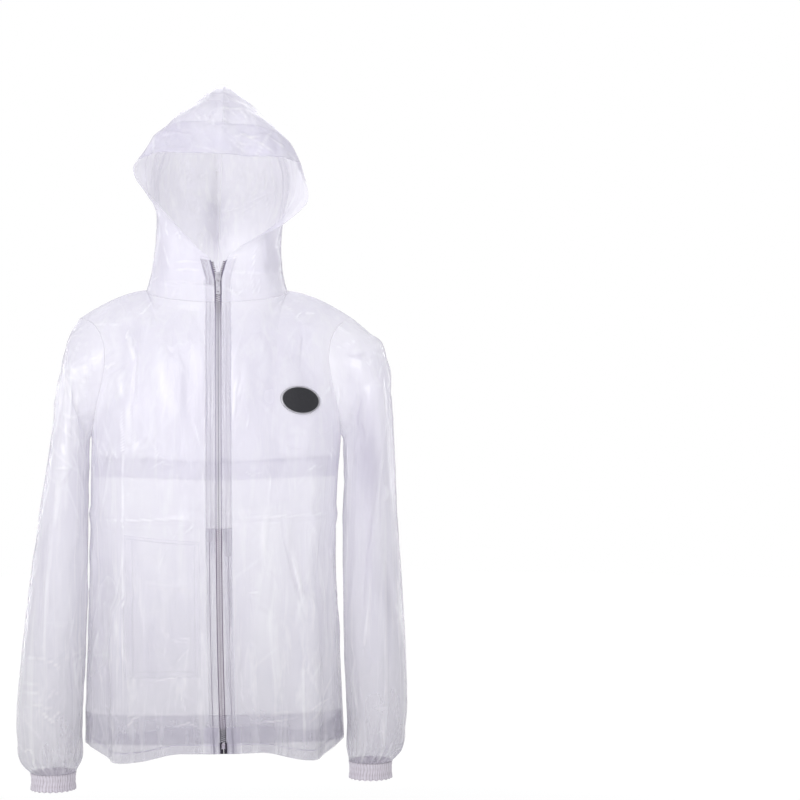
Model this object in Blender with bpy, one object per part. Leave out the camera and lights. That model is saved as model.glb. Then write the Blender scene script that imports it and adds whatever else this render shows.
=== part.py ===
"""Clear hooded raincoat, filled out as if worn: film panels as thin walls around one hollow.

Metres, +Z up. The front faces -Y and +X is the wearer's left. The origin is the middle of the
neck at shoulder height, where the wearer holds the coat up. Each cut piece is its own solid.
Panels are surfaces worked out from short tables of sections; a wall is such a surface with its
inner face set back by the film's thickness, and layers are the same surface moved in or out.
"""

import bpy
import numpy as np
from mathutils import Matrix, Vector

# ---------------------------------------------------------------- driving sizes
FILM = 0.0012            # wall of one layer of film
SEAM_GAP = 0.0003        # between pieces that meet or lie on each other
LAYER = FILM + SEAM_GAP  # from one layer's outer face to the next

NECK_HALF_WIDTH = 0.105
NECK_DEPTH = 0.074       # from the middle to the front and to the back of the neck
SHOULDER_TIP_X = 0.204
SHOULDER_TIP_Z = -0.042
SHOULDER_ROUND = 1.6     # how late the shoulder seam drops
NECK_SHARE = 5 / 9       # share of a quarter's columns that end at the neck
UNDERARM = 0.645         # share of the front's height at which the armhole starts
UNDERARM_Z = -0.215
ARMHOLE_REACH = {"front": 0.066, "back": 0.070}
DRAWN_IN = 3.5           # how late the surface draws in to the neck and shoulder seam

# Sections of the body: height of the centre front, side seam and centre back, half width on
# each side, depth to the front and to the back, how square the section is, how far across its
# height stays that of the centre, and how far the front's corners hang down.
BODY = (
    ("section", "rise", "front_z", "side_z", "back_z", "right", "left", "front", "back", "square",
     "level", "corner"),
    ("hem", 0.0, -0.673, -0.674, -0.708, 0.1985, 0.1905, 0.137, 0.126, 2.1, 3.6, 0.016),
    ("hip", 0.20, -0.544, -0.535, -0.560, 0.1940, 0.1840, 0.135, 0.119, 2.2, 2.4, 0.004),
    ("waist", 0.40, -0.415, -0.395, -0.410, 0.1900, 0.1775, 0.134, 0.113, 2.4, 1.8, 0.0),
    ("ribs", 0.55, -0.315, -0.286, -0.300, 0.1880, 0.1800, 0.133, 0.118, 2.6, 1.6, 0.0),
    ("underarm", 0.645, -0.252, -0.215, -0.228, 0.1870, 0.1850, 0.131, 0.123, 2.7, 1.6, 0.0),
    ("chest", 0.75, -0.183, -0.180, -0.150, 0.1865, 0.1860, 0.125, 0.124, 2.7, 1.6, 0.0),
    ("yoke", 0.87, -0.105, -0.090, -0.060, 0.1920, 0.1920, 0.106, 0.110, 2.2, 1.6, 0.0),
    ("neck", 1.0, -0.019, -0.042, 0.022, 0.2040, 0.2040, 0.074, 0.074, 1.5, 1.6, 0.0),
)
CORNER = (0.58, 0.34)    # where across the front its corners hang, and how far to each side

# Sections of each sleeve, from the armhole to the cuff: outer and inner edge, as seen from the
# front, how far the middle stands forward, and half the depth from front to back.
SLEEVE = {
    "left": (
        ("section", "along", "outer_x", "outer_z", "inner_x", "inner_z", "forward", "half_depth"),
        ("cap", 0.05, 0.2280, -0.0620, 0.1890, -0.224, 0.000, 0.072),
        ("tip", 0.11, 0.2530, -0.0940, 0.1900, -0.236, 0.001, 0.077),
        ("upper arm", 0.20, 0.2610, -0.1550, 0.1905, -0.262, 0.003, 0.080),
        ("biceps", 0.34, 0.2650, -0.2500, 0.1900, -0.305, 0.006, 0.079),
        ("elbow", 0.54, 0.2735, -0.3900, 0.1880, -0.400, 0.010, 0.073),
        ("forearm", 0.74, 0.2830, -0.5450, 0.1895, -0.545, 0.016, 0.065),
        ("blouse", 0.90, 0.2815, -0.6550, 0.1945, -0.655, 0.020, 0.056),
        ("gather", 0.965, 0.2740, -0.6910, 0.1955, -0.691, 0.021, 0.047),
        ("cuff", 1.0, 0.2620, -0.7085, 0.1965, -0.7085, 0.022, 0.031),
    ),
    "right": (
        ("section", "along", "outer_x", "outer_z", "inner_x", "inner_z", "forward", "half_depth"),
        ("cap", 0.05, 0.2180, -0.0650, 0.1905, -0.224, 0.000, 0.072),
        ("tip", 0.11, 0.2270, -0.1000, 0.1915, -0.236, 0.001, 0.077),
        ("upper arm", 0.20, 0.2390, -0.1650, 0.1925, -0.262, 0.003, 0.080),
        ("biceps", 0.34, 0.2530, -0.2550, 0.1930, -0.305, 0.006, 0.079),
        ("elbow", 0.54, 0.2750, -0.3950, 0.1940, -0.405, 0.010, 0.073),
        ("forearm", 0.74, 0.2930, -0.5500, 0.1980, -0.550, 0.016, 0.065),
        ("blouse", 0.90, 0.2975, -0.6640, 0.2030, -0.664, 0.020, 0.056),
        ("gather", 0.965, 0.2905, -0.7000, 0.2055, -0.700, 0.021, 0.047),
        ("cuff", 1.0, 0.2780, -0.7170, 0.2110, -0.7170, 0.022, 0.031),
    ),
}
GATHERS = 12             # in each sleeve above its cuff
GATHER_STAND = 0.0022    # how far they stand out
GATHER_MIDDLE, GATHER_REACH = 0.965, 0.09   # where along the sleeve, and how far to each side
CUFF_HEIGHT = 0.025
CUFF_WALL = 0.0018
CUFF_FLARE = 0.0016      # how far the rims stand out past the middle
CUFF_RIBS = 18
CUFF_RIB_RELIEF = 0.0005

# Ribs of the hood's left half, from the face edge round to the centre back: where each stands
# on the neck seam, then its neck, cheek and widest points, its apex, and how square its arch is.
HOOD = (
    ("rib", "around", "neck_x", "neck_y", "neck_z", "cheek_x", "cheek_y", "cheek_z",
     "wide_x", "wide_y", "wide_z", "apex_y", "apex_z", "square"),
    ("face edge", 0.0, 0.0135, -0.074, 0.042, 0.054, -0.084, 0.082,
     0.123, -0.100, 0.154, -0.139, 0.191, 5.0),
    ("brim seam", 0.14, 0.060, -0.068, 0.048, 0.083, -0.070, 0.100,
     0.114, -0.078, 0.152, -0.106, 0.240, 3.0),
    ("temple", 0.36, 0.0905, -0.041, 0.050, 0.0925, -0.042, 0.100,
     0.1010, -0.043, 0.160, -0.055, 0.284, 1.9),
    ("crown", 0.58, 0.0930, 0.006, 0.052, 0.0925, 0.007, 0.104,
     0.0960, 0.010, 0.165, -0.006, 0.3060, 1.5),
    ("back", 0.80, 0.0680, 0.052, 0.058, 0.0700, 0.056, 0.104,
     0.0790, 0.066, 0.165, 0.050, 0.286, 1.9),
    ("centre back", 1.0, 0.0, 0.076, 0.062, 0.0, 0.085, 0.102,
     0.0, 0.111, 0.165, 0.088, 0.258, 2.0),
)
HOOD_KNOTS = (0.0, 0.20, 0.35, 0.50)   # how far up a rib its neck seam, neck, cheek and wide lie
HOOD_ARCH = np.radians([25, 50, 72, 90])   # places on its arch, from the widest point to the apex
HOOD_LEAN = 0.036        # sideways for each metre of height
HOOD_TILT = 0.20         # drop for each metre sideways and metre of height
BRIM_DROOP = {"left": 0.030, "right": -0.002}   # how far the corner of the face edge hangs down
BRIM_DROOP_REACH = (0.22, 0.40)   # of that drop, up and down the rib and round the hood
BRIM_START_ROW = 9       # row of the hood's grid at which the brim starts
BRIM_COLUMNS = 2         # of the hood's grid, from the face edge, that the brim covers

# Creases left by folding and the deepest folds: piece, ends as seen from the front, how far
# the film stands out (or in, below zero), and half the fold's width.
FOLDS = (
    ("piece", "x1", "z1", "x2", "z2", "stand", "half_width"),
    ("front", -0.140, -0.180, -0.137, -0.700, 0.0045, 0.030),
    ("front", 0.139, -0.200, 0.130, -0.700, 0.0045, 0.030),
    ("front", -0.138, -0.470, -0.137, -0.720, 0.0090, 0.030),
    ("front", 0.131, -0.470, 0.130, -0.720, 0.0080, 0.030),
    ("front", -0.190, -0.337, 0.190, -0.337, 0.0022, 0.018),
    ("front", -0.118, -0.060, -0.108, -0.215, -0.0035, 0.026),
    ("front", 0.128, -0.070, 0.146, -0.240, -0.0030, 0.026),
    ("front", 0.118, -0.345, 0.126, -0.520, -0.0035, 0.024),
    ("back", 0.136, -0.250, 0.134, -0.720, 0.0040, 0.030),
    ("back", -0.128, -0.200, -0.140, -0.700, 0.0040, 0.030),
    ("back", 0.000, -0.240, 0.002, -0.440, 0.0025, 0.026),
    ("back", -0.190, -0.337, 0.190, -0.337, 0.0022, 0.018),
    ("back", -0.100, -0.070, -0.122, -0.300, -0.0030, 0.028),
    ("back", 0.104, -0.060, 0.110, -0.240, -0.0030, 0.028),
)

# Pieces laid on the panels
HEM_TURNING = 0.040
POCKET_ROWS = (4, 11)                # of the front panel's grid, from the hem up
POCKET_COLUMNS = (4, 8)              # of the right front's grid, from its side seam
FLAP_ROWS = (13, 22)                 # of the back's grid: the free edge and the weld
FLAP_COLUMNS = (1, 17)
STUD_Z = -0.262
STUD_X = (-0.113, 0.010, 0.101)
STUD_RADIUS = 0.0050
STUD_SIDES = 12
STUD_HEIGHT = 0.0016
BADGE_CENTRE = (0.120, -0.163)
BADGE_HALF = (0.0295, 0.0200)
BADGE_TILT = np.radians(-10.0)
BADGE_THICKNESS = 0.0014
BADGE_SIDES = 24
DISC_LIFT = 0.0006                   # clears the facets under a plate

# Zip
ZIP_TOP_X, ZIP_TOP_Z = 0.0012, 0.042
ZIP_HEM_X, ZIP_HEM_Z = 0.0082, -0.672
ZIP_BEND = 5             # how late it bends aside on the way down
FILM_TO_ZIP_CENTRE = 0.0050
TAPE_INNER, TAPE_OUTER = 0.0033, 0.0190
TAPE = 0.0010
TAPE_SET_BACK = LAYER + 0.0005        # along Y, more than a layer because the chest slopes
TOOTH_WIDTH = 0.00285
TOOTH_THICKNESS = 0.0024
TEETH_SET_BACK = 0.0020              # from the film's outer face to the middle of the teeth
OPENING_Z = 0.0145                   # the rows of teeth part above this
OPENING_SLOPE = 0.27
TEETH_END_ABOVE_HEM = 0.016

STOP_HALF_WIDTH = 0.0027
STOP_HALF_DEPTH = 0.0017
STOP_LOW, STOP_HIGH = -0.0090, -0.0012   # from the ends of the teeth
STOP_ROUNDING = 0.0004

SLIDER_LOW, SLIDER_HIGH = 0.0125, 0.0245
SLIDER_HALF_WIDTH = 0.0042
SLIDER_PLATE = 0.0012
PLATE_GAP = 0.0015                   # from the middle of the teeth to a plate
POST_HALF_WIDTH = 0.0011
POST_LOW, POST_HIGH = 0.0213, 0.0243
BRIDGE_HALF_WIDTH = 0.0009
BRIDGE_LOW, BRIDGE_HIGH = 0.0145, 0.0225
BRIDGE_REACH = 0.0059                # from the middle of the teeth to the bridge's front
BRIDGE_BAR = 0.0012
PULL_AXIS_Z = 0.0175
PULL_AXIS_FORWARD = 0.0037
PULL_HALF_WIDTH = 0.0032
PULL_THICKNESS = 0.0012
PULL_END_Z = -0.0075
PULL_TOP_Z = 0.0181
PULL_BAR_RADIUS = 0.00057            # its flats stay inside the tab's faces
PULL_BAR_LENGTH = 0.0054
PULL_WINDOW_HALF = 0.0014
PULL_WINDOW_LOW = 0.0110
PULL_HOLE_Z = -0.0040
PULL_HOLE_RADIUS = 0.0011
THROUGH = 0.005                      # how far a cutter runs past what it cuts

# Directions that rims' normals lose, so that facing rims stay apart
FRONT_LEVEL = {
    "left": {"first": "x", "last": "y", "high": "y"},
    "right": {"first": "y", "last": "x", "high": "y"},
}
BACK_LEVEL = {"first": "y", "last": "y", "high": "y"}
INSIDE = (-LAYER - FILM, -LAYER)     # where a second layer lies, behind a panel

# Grids
QUARTER = 9              # columns in a quarter of the body
NECK_COLUMNS = 5
LOWER_ROWS = 15
ARMHOLE_ROWS = 9
SLEEVE_CAP = (0, 0.025)                  # rows of a sleeve: beside the armhole,
SLEEVE_EVEN = (0.06, 0.90, 13)           # then even ones, from, to and how many,
SLEEVE_GATHER = (0.935, 0.965, 0.985, 1)  # and those above the cuff
HOOD_NECK_ROWS = 4       # rows of the hood beside the zip
HOOD_ROWS = 10           # rows above them
PLATE_DETAIL = 8         # cuts in a panel's cell when a plate is laid on it
CUFF_ROWS = 4

# name: base colour with alpha, roughness, metallic
FINISHES = {
    "clear_film": ((0.86, 0.85, 0.91, 0.45), 0.22, 0.0),
    "zip_tape": ((0.42, 0.38, 0.50, 1.0), 0.55, 0.0),
    "zip_teeth": ((0.16, 0.12, 0.20, 1.0), 0.35, 0.0),
    "zip_metal": ((0.62, 0.62, 0.66, 1.0), 0.25, 1.0),
    "cuff_elastic": ((0.42, 0.37, 0.38, 1.0), 0.8, 0.0),
    "badge_black": ((0.03, 0.03, 0.035, 1.0), 0.3, 0.0),
}


# ---------------------------------------------------------------- tables and curves
def columns(table):
    """A table's columns as arrays, by name; its first column holds the rows' names."""
    names, *rows = table
    return {name: np.array([row[i] for row in rows]) for i, name in enumerate(names)}


def smooth(knots, values, at):
    """Cubic Hermite curve through (knots, values), with each slope taken from its neighbours."""
    knots, values, at = np.asarray(knots, float), np.asarray(values, float), np.asarray(at, float)
    slope = np.gradient(values, knots, axis=0)
    i = np.clip(np.searchsorted(knots, at, side="right") - 1, 0, len(knots) - 2)
    step = knots[i + 1] - knots[i]
    t = (at - knots[i]) / step
    more = (1,) * (values.ndim - 1)
    t, step = t.reshape(t.shape + more), step.reshape(step.shape + more)
    start = (1 + 2 * t) * (1 - t) ** 2 * values[i] + t * (1 - t) ** 2 * step * slope[i]
    end = t * t * (3 - 2 * t) * values[i + 1] + t * t * (t - 1) * step * slope[i + 1]
    return start + end


def zip_centre(z):
    """The zip hangs straight and bends a little to the left towards the hem."""
    down = np.clip((ZIP_TOP_Z - z) / (ZIP_TOP_Z - ZIP_HEM_Z), 0, None)
    return ZIP_TOP_X + (ZIP_HEM_X - ZIP_TOP_X) * down**ZIP_BEND


def opening(z):
    """How far each side of the zip has moved away from its centre, above the slider."""
    return OPENING_SLOPE * np.maximum(0.0, z - OPENING_Z)


# ---------------------------------------------------------------- body surface
def top_edge(face, across):
    """Neck curve up to NECK_SHARE, then the shoulder seam out to its tip."""
    turn = np.clip(across / NECK_SHARE, 0, 1) * np.pi / 2
    out = np.clip((across - NECK_SHARE) / (1 - NECK_SHARE), 0, 1)
    middle_z = columns(BODY)[face + "_z"][-1]
    x = NECK_HALF_WIDTH * np.sin(turn) + (SHOULDER_TIP_X - NECK_HALF_WIDTH) * out
    y = NECK_DEPTH * np.cos(turn)
    z = middle_z * np.cos(turn) + SHOULDER_TIP_Z * out**SHOULDER_ROUND
    return x, y, z


def section(side, face, across, rise):
    """One quarter's section curves, as x and y both positive and z, before the top is shaped.

    A section is |x/half width|^square + |y/depth|^square = 1, from the middle (across 0) to the
    side seam or, above the underarm, to the armhole, an oval cut into the same surface.
    """
    body = columns(BODY)
    half, depth, square, middle_z, side_z, level, corner = (
        smooth(body["rise"], body[name], rise)
        for name in (side, face, "square", face + "_z", "side_z", "level", "corner")
    )
    arm = np.clip((rise - UNDERARM) / (1 - UNDERARM), 0, 1) * np.pi
    edge_y = ARMHOLE_REACH[face] * np.sin(arm)
    armhole_z = UNDERARM_Z + (SHOULDER_TIP_Z - UNDERARM_Z) * (1 - np.cos(arm)) / 2
    edge_z = np.where(rise > UNDERARM, armhole_z, side_z)
    edge_x = half * (1 - np.clip(edge_y / depth, 0, 1) ** square) ** (1 / square)
    angle = across * np.arctan2(edge_x, edge_y)
    reach = (np.sin(angle) / half) ** square + (np.cos(angle) / depth) ** square
    reach = reach ** (-1 / square)
    z = middle_z + (edge_z - middle_z) * across**level
    if face == "front":
        z = z - corner * np.cos(np.pi / 2 * np.clip((across - CORNER[0]) / CORNER[1], -1, 1)) ** 2
    return reach * np.sin(angle), reach * np.cos(angle), z


def body_points(side, face, across, rise):
    """Outer face of a quarter of the body: across 0 to 1 by rise 0, the hem, to 1, the neck."""
    across, rise = np.broadcast_arrays(*np.meshgrid(across, rise))
    x, y, z = section(side, face, across, rise)
    top_x, top_y, top_z = section(side, face, across, np.ones_like(rise))
    edge_x, edge_y, edge_z = top_edge(face, across)
    arm = np.clip((rise - UNDERARM) / (1 - UNDERARM), 0, 1)
    raised = np.sin(arm * np.pi / 2) ** 2
    drawn_in = arm**DRAWN_IN
    x = x + drawn_in * (edge_x - top_x)
    y = y + drawn_in * (edge_y - top_y)
    z = z + raised * (edge_z - top_z)
    sign = 1 if side == "left" else -1
    if face == "front":
        centred = (1 - across) ** 2
        x = sign * (x + FILM_TO_ZIP_CENTRE * centred) + zip_centre(z) * centred
        y = -y - SEAM_GAP / 2
    else:
        x, y = sign * x, y + SEAM_GAP / 2
    return folded(face, np.stack([x, y, z], axis=-1))


def folded(face, points):
    """Moves points out from the body's axis by the folds of FOLDS: each a cosine hump in the
    distance from its line, fading out at both ends."""
    table = columns(FOLDS)
    flat = points[..., [0, 2]]
    stand = np.zeros(points.shape[:-1])
    for i in np.flatnonzero(table["piece"] == face):
        start = np.array([table["x1"][i], table["z1"][i]], float)
        along = np.array([table["x2"][i], table["z2"][i]], float) - start
        length = np.linalg.norm(along)
        share = (flat - start) @ along / length**2
        near = np.linalg.norm(flat - start - np.clip(share, 0, 1)[..., None] * along, axis=-1)
        hump = np.cos(np.pi / 2 * np.clip(near / float(table["half_width"][i]), 0, 1)) ** 2
        stand += float(table["stand"][i]) * hump
    out = points * (1, 1, 0)
    out = out / np.maximum(np.linalg.norm(out, axis=-1, keepdims=True), 1e-9)
    return points + out * stand[..., None]


def rises():
    """Rows of the body: even below the underarm, then even along the armhole. The second row
    is the top of the hem's turning."""
    lower = np.linspace(0, UNDERARM, LOWER_ROWS + 1)
    lower[1] = HEM_TURNING / (BODY[-1][2] - BODY[1][2])
    return np.concatenate([lower, np.linspace(UNDERARM, 1, ARMHOLE_ROWS + 1)[1:]])


def quarter_grid(side, face):
    """The points of a quarter of the body that its panel's wall is made from."""
    return body_points(side, face, np.linspace(0, 1, QUARTER + 1), rises())


def back_grid():
    """The whole back's points, from the left side to the right, as seen from behind."""
    left, right = quarter_grid("left", "back"), quarter_grid("right", "back")
    return np.concatenate([left[:, ::-1], right[:, 1:]], axis=1)


def finer(grid, times):
    """The grid with each cell cut into times by times, on straight lines between its points."""
    for axis in (0, 1):
        places = np.linspace(0, grid.shape[axis] - 1, (grid.shape[axis] - 1) * times + 1)
        first = np.minimum(places.astype(int), grid.shape[axis] - 2)
        share = (places - first).reshape((-1, 1, 1) if axis == 0 else (1, -1, 1))
        grid = np.take(grid, first, axis) * (1 - share) + np.take(grid, first + 1, axis) * share
    return grid


# ---------------------------------------------------------------- sleeve and hood surfaces
def armhole(side):
    """The armhole loop from the shoulder tip down the front and up the back, without its end."""
    rise = np.linspace(1, UNDERARM, ARMHOLE_ROWS + 1)
    front = body_points(side, "front", [1.0], rise)[:, 0]
    back = body_points(side, "back", [1.0], rise[::-1])[:, 0]
    front[[0, -1], 1] = 0
    return np.concatenate([front, back[1:-1]])


def sleeve_rings(side, along):
    """Rings of a sleeve. Each lies in the plane through its outer and inner edge that holds
    the front-to-back direction, and the first stretch turns from the armhole into them. Above
    the cuff the gathers are waves around the ring, which rise and fade along the sleeve."""
    table = columns(SLEEVE[side])
    sign = 1 if side == "left" else -1
    loop = armhole(side)
    loop = np.stack([loop, (loop + np.roll(loop, -1, axis=0)) / 2], axis=1).reshape(-1, 3)
    turn = np.linspace(0, 2 * np.pi, len(loop), endpoint=False)
    knots = np.concatenate([[0], table["along"]])
    rings = [loop + (sign * SEAM_GAP, 0, 0)]
    for i in range(len(table["along"])):
        outer = np.array([sign * table["outer_x"][i], 0, table["outer_z"][i]], float)
        inner = np.array([sign * table["inner_x"][i], 0, table["inner_z"][i]], float)
        ring = (outer + inner) / 2 + np.cos(turn)[:, None] * (outer - inner) / 2
        ring[:, 1] = -table["forward"][i] - np.sin(turn) * table["half_depth"][i]
        rings.append(ring)
    rings = smooth(knots, np.array(rings), along)
    out = rings - rings.mean(axis=1, keepdims=True)
    out = out / np.linalg.norm(out, axis=-1, keepdims=True)
    near = np.clip((along - GATHER_MIDDLE) / GATHER_REACH, -1, 1)
    rise = np.cos(np.pi / 2 * near) ** 2 * (1 - np.clip(along - GATHER_MIDDLE, 0, 1) / (1 - GATHER_MIDDLE))
    wave = GATHER_STAND * (1 + np.cos(GATHERS * turn)) / 2
    return rings + out * rise[:, None, None] * wave[:, None]


def hood_half(side, around, up):
    """Outer face of half the hood: around 0, the face edge, to 1, the centre back, by up 0, the
    neck seam, to 1, the centre seam. Above its widest point a rib is a superellipse arch."""
    table = columns(HOOD)
    sign = 1 if side == "left" else -1
    knots = np.concatenate([HOOD_KNOTS, 0.5 + 0.5 * HOOD_ARCH / HOOD_ARCH[-1]])
    ribs = []
    for i, place in enumerate(table["around"]):
        face, share = ("front", 2 * place) if place <= 0.5 else ("back", 2 - 2 * place)
        x, y, z = top_edge(face, np.array(share * NECK_SHARE))
        rib = [(x, -y if face == "front" else y, z)]
        rib += [[table[f"{name}_{axis}"][i] for axis in "xyz"] for name in ("neck", "cheek", "wide")]
        wide_x, wide_y, wide_z = rib[-1]
        for angle in HOOD_ARCH:
            over = np.sin(angle) ** (2 / table["square"][i])
            across = np.maximum(np.cos(angle), 0) ** (2 / table["square"][i])
            drawn = 1 - np.cos(angle)
            rib.append((
                wide_x * across,
                wide_y + (table["apex_y"][i] - wide_y) * drawn,
                wide_z + (table["apex_z"][i] - wide_z) * over,
            ))
        ribs.append(rib)
    ribs = smooth(knots, np.array(ribs, float).swapaxes(0, 1), up)
    points = smooth(table["around"], ribs.swapaxes(0, 1), around).swapaxes(0, 1)
    around, up = np.meshgrid(around, up)
    points[up == 1, 0] = 0
    # the foot of each rib stands on the neck curve itself
    share = np.where(around <= 0.5, 2 * around, 2 - 2 * around) * NECK_SHARE
    front, back = top_edge("front", share), top_edge("back", share)
    foot = np.where(around <= 0.5, (front[0], -front[1], front[2]), back)
    foot = np.moveaxis(foot, 0, -1)
    points += (foot - foot_of(points)) * (1 - np.clip(up / HOOD_KNOTS[1], 0, 1))[..., None] ** 2
    # beside the zip the face edge follows the two parted rows of teeth
    x, y, z = np.moveaxis(points, -1, 0)
    beside = np.clip(1 - around / HOOD[2][1], 0, 1) ** 2 * (up <= HOOD_KNOTS[1])
    edge = FILM_TO_ZIP_CENTRE + opening(z)
    x = x + beside * (edge - x[:, :1])
    y = y + beside * (-NECK_DEPTH - y[:, :1])
    high = np.maximum(z, 0)
    near = np.clip((up - HOOD_KNOTS[3]) / BRIM_DROOP_REACH[0], -1, 1)
    drop = np.cos(np.pi / 2 * near) ** 2 * np.clip(1 - around / BRIM_DROOP_REACH[1], 0, 1) ** 2
    leaning = HOOD_LEAN * high
    zip_shift = zip_centre(z) * np.clip(1 - around / HOOD[3][1], 0, 1) ** 2
    fading = np.clip(1 - high / HOOD[1][4], 0, 1)
    x = sign * x + zip_shift * fading + leaning * (1 - fading)
    z = z - HOOD_TILT * x * high - BRIM_DROOP[side] * drop
    return np.stack([x, y, z], axis=-1)


def hood_grid(side):
    """The points of half the hood that its wall is made from."""
    around = np.insert(np.linspace(0, 1, 2 * NECK_COLUMNS + 1), BRIM_COLUMNS, HOOD[2][1])
    beside_zip = np.linspace(0, HOOD_KNOTS[1], HOOD_NECK_ROWS + 1)
    up = np.concatenate([beside_zip, np.linspace(HOOD_KNOTS[1], 1, HOOD_ROWS + 1)[1:]])
    shift = SEAM_GAP / 2 if side == "left" else -SEAM_GAP / 2
    return hood_half(side, around, up) + (shift, 0, SEAM_GAP)


def foot_of(points):
    """The first row of a grid, repeated over its rows."""
    return np.broadcast_to(points[:1], points.shape)


# ---------------------------------------------------------------- solids
def finish(name):
    """The material of that name from FINISHES."""
    material = bpy.data.materials.get(name) or bpy.data.materials.new(name)
    colour, roughness, metallic = FINISHES[name]
    material.use_nodes = True
    shader = material.node_tree.nodes["Principled BSDF"]
    shader.inputs["Base Color"].default_value = (*colour[:3], 1)
    shader.inputs["Alpha"].default_value = colour[3]
    shader.inputs["Roughness"].default_value = roughness
    shader.inputs["Metallic"].default_value = metallic
    material.diffuse_color = colour
    return material


def new_object(name, vertices, faces, material):
    """A mesh object with its place in its mesh, shaded smooth but for sharp rims."""
    mesh = bpy.data.meshes.new(name)
    mesh.from_pydata([tuple(map(float, v)) for v in vertices], [], faces)
    mesh.materials.append(finish(material))
    made = bpy.data.objects.new(name, mesh)
    bpy.context.scene.collection.objects.link(made)
    mesh.shade_smooth()
    mesh.set_sharp_from_angle(angle=np.radians(40))
    return made


def normals(points, wrap):
    """Unit normals of a grid whose columns run to the right and rows up, seen from outside."""
    if wrap:
        right = np.roll(points, -1, axis=1) - np.roll(points, 1, axis=1)
    else:
        right = np.gradient(points, axis=1)
    normal = np.cross(right, np.gradient(points, axis=0))
    return normal / np.maximum(np.linalg.norm(normal, axis=-1, keepdims=True), 1e-12)


def outward(points, wrap=False):
    """The grid with its columns turned round if its normals point at its own middle."""
    centre = points.mean(axis=1, keepdims=True) if wrap else points.mean(axis=(0, 1)) * (1, 0, 1)
    facing = (normals(points, wrap) * (points - centre)).sum()
    return points if facing > 0 else points[:, ::-1]


def moved(points, distance, wrap=False, level=None):
    """The grid moved along its normals, outwards if distance is above zero.

    level names an axis that the rims' normals lose, by rim, so that facing rims stay apart.
    """
    normal = normals(points, wrap)
    for rim, axis in (level or {}).items():
        part = {"low": np.s_[0], "high": np.s_[-1], "first": np.s_[:, 0], "last": np.s_[:, -1]}[rim]
        normal[part] *= np.array([a != axis for a in "xyz"])
        normal[part] /= np.linalg.norm(normal[part], axis=-1, keepdims=True)
    return points + normal * distance


def shell(name, outer, inner, material, wrap=False, crossed=False):
    """A closed solid between two grids of the same size, joined along their rims. Cells are cut
    along their first to third corner or, if crossed, along the other two."""
    rows, cols = outer.shape[:2]
    vertices = np.concatenate([outer.reshape(-1, 3), inner.reshape(-1, 3)])
    grid = np.arange(rows * cols).reshape(rows, cols)
    if wrap:
        grid = np.concatenate([grid, grid[:, :1]], axis=1)
    a, b = grid[:-1, :-1].ravel(), grid[:-1, 1:].ravel()
    c, d = grid[1:, 1:].ravel(), grid[1:, :-1].ravel()
    if crossed:
        face = np.concatenate([np.stack([a, b, d], 1), np.stack([b, c, d], 1)])
    else:
        face = np.concatenate([np.stack([a, b, c], 1), np.stack([a, c, d], 1)])
    faces = [face, face[:, ::-1] + rows * cols]
    rims = [grid[0, ::-1], grid[-1]]
    if not wrap:
        rims += [grid[:, 0], grid[::-1, -1]]
    for rim in rims:
        start, end = rim[:-1], rim[1:]
        faces.append(np.stack([start, end, end + rows * cols], 1))
        faces.append(np.stack([start, end + rows * cols, start + rows * cols], 1))
    return new_object(name, vertices, np.concatenate(faces).tolist(), material)


def wall(name, points, thickness, material, wrap=False, level=None, crossed=False):
    """A wall whose outer face is the grid."""
    shell(name, points, moved(points, -thickness, wrap, level), material, wrap, crossed)


def layer(name, grid, rows, cols, low, high, material, level=None, crossed=False):
    """A panel's grid from one row and column to others, between two distances from its face."""
    part = np.s_[rows[0]:rows[1] + 1, cols[0]:cols[1] + 1]
    outer, inner = moved(grid, high, level=level), moved(grid, low, level=level)
    shell(name, outer[part], inner[part], material, crossed=crossed)


def box(name, low, high, material, bevel=0.0):
    """A box between two corners, with its edges rounded by bevel."""
    low, high = Vector(low), Vector(high)
    corners = [(x, y, z) for x in (low.x, high.x) for y in (low.y, high.y) for z in (low.z, high.z)]
    faces = [(0, 1, 3, 2), (4, 6, 7, 5), (0, 4, 5, 1), (2, 3, 7, 6), (0, 2, 6, 4), (1, 5, 7, 3)]
    made = new_object(name, corners, faces, material)
    if bevel:
        rounding = made.modifiers.new("rounding", "BEVEL")
        rounding.width = bevel
        rounding.segments = 2
    return made


def rod(name, centre, radius, length, axis, material, sides=12):
    """A round bar about an axis, "x" or "y", through centre."""
    turn = np.linspace(0, 2 * np.pi, sides, endpoint=False)
    ring = np.stack([np.cos(turn) * radius, np.sin(turn) * radius], axis=1)
    ends = []
    for end in (-length / 2, length / 2):
        ends += [(end, a, b) if axis == "x" else (b, end, a) for a, b in ring]
    faces = [tuple(reversed(range(sides))), tuple(range(sides, 2 * sides))]
    faces += [(i, (i + 1) % sides, (i + 1) % sides + sides, i + sides) for i in range(sides)]
    return new_object(name, np.array(ends) + centre, faces, material)


def combined(base, others, operation):
    """Adds or cuts other shapes, which stay as hidden guides."""
    for other in others:
        step = base.modifiers.new(operation.lower(), "BOOLEAN")
        step.operation = operation
        step.object = other
        other.hide_render = True
        other.display_type = "WIRE"


# ---------------------------------------------------------------- pieces
def fronts():
    """Both front panels, from the zip to the side seam, armhole, shoulder and neck."""
    for side in ("left", "right"):
        grid = outward(quarter_grid(side, "front"))
        wall(f"front_panel_{side}", grid, FILM, "clear_film", level=FRONT_LEVEL[side],
             crossed=side == "left")


def back():
    """The back panel with its dropped tail, in one piece."""
    wall("back_panel", back_grid(), FILM, "clear_film", level=BACK_LEVEL)


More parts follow.
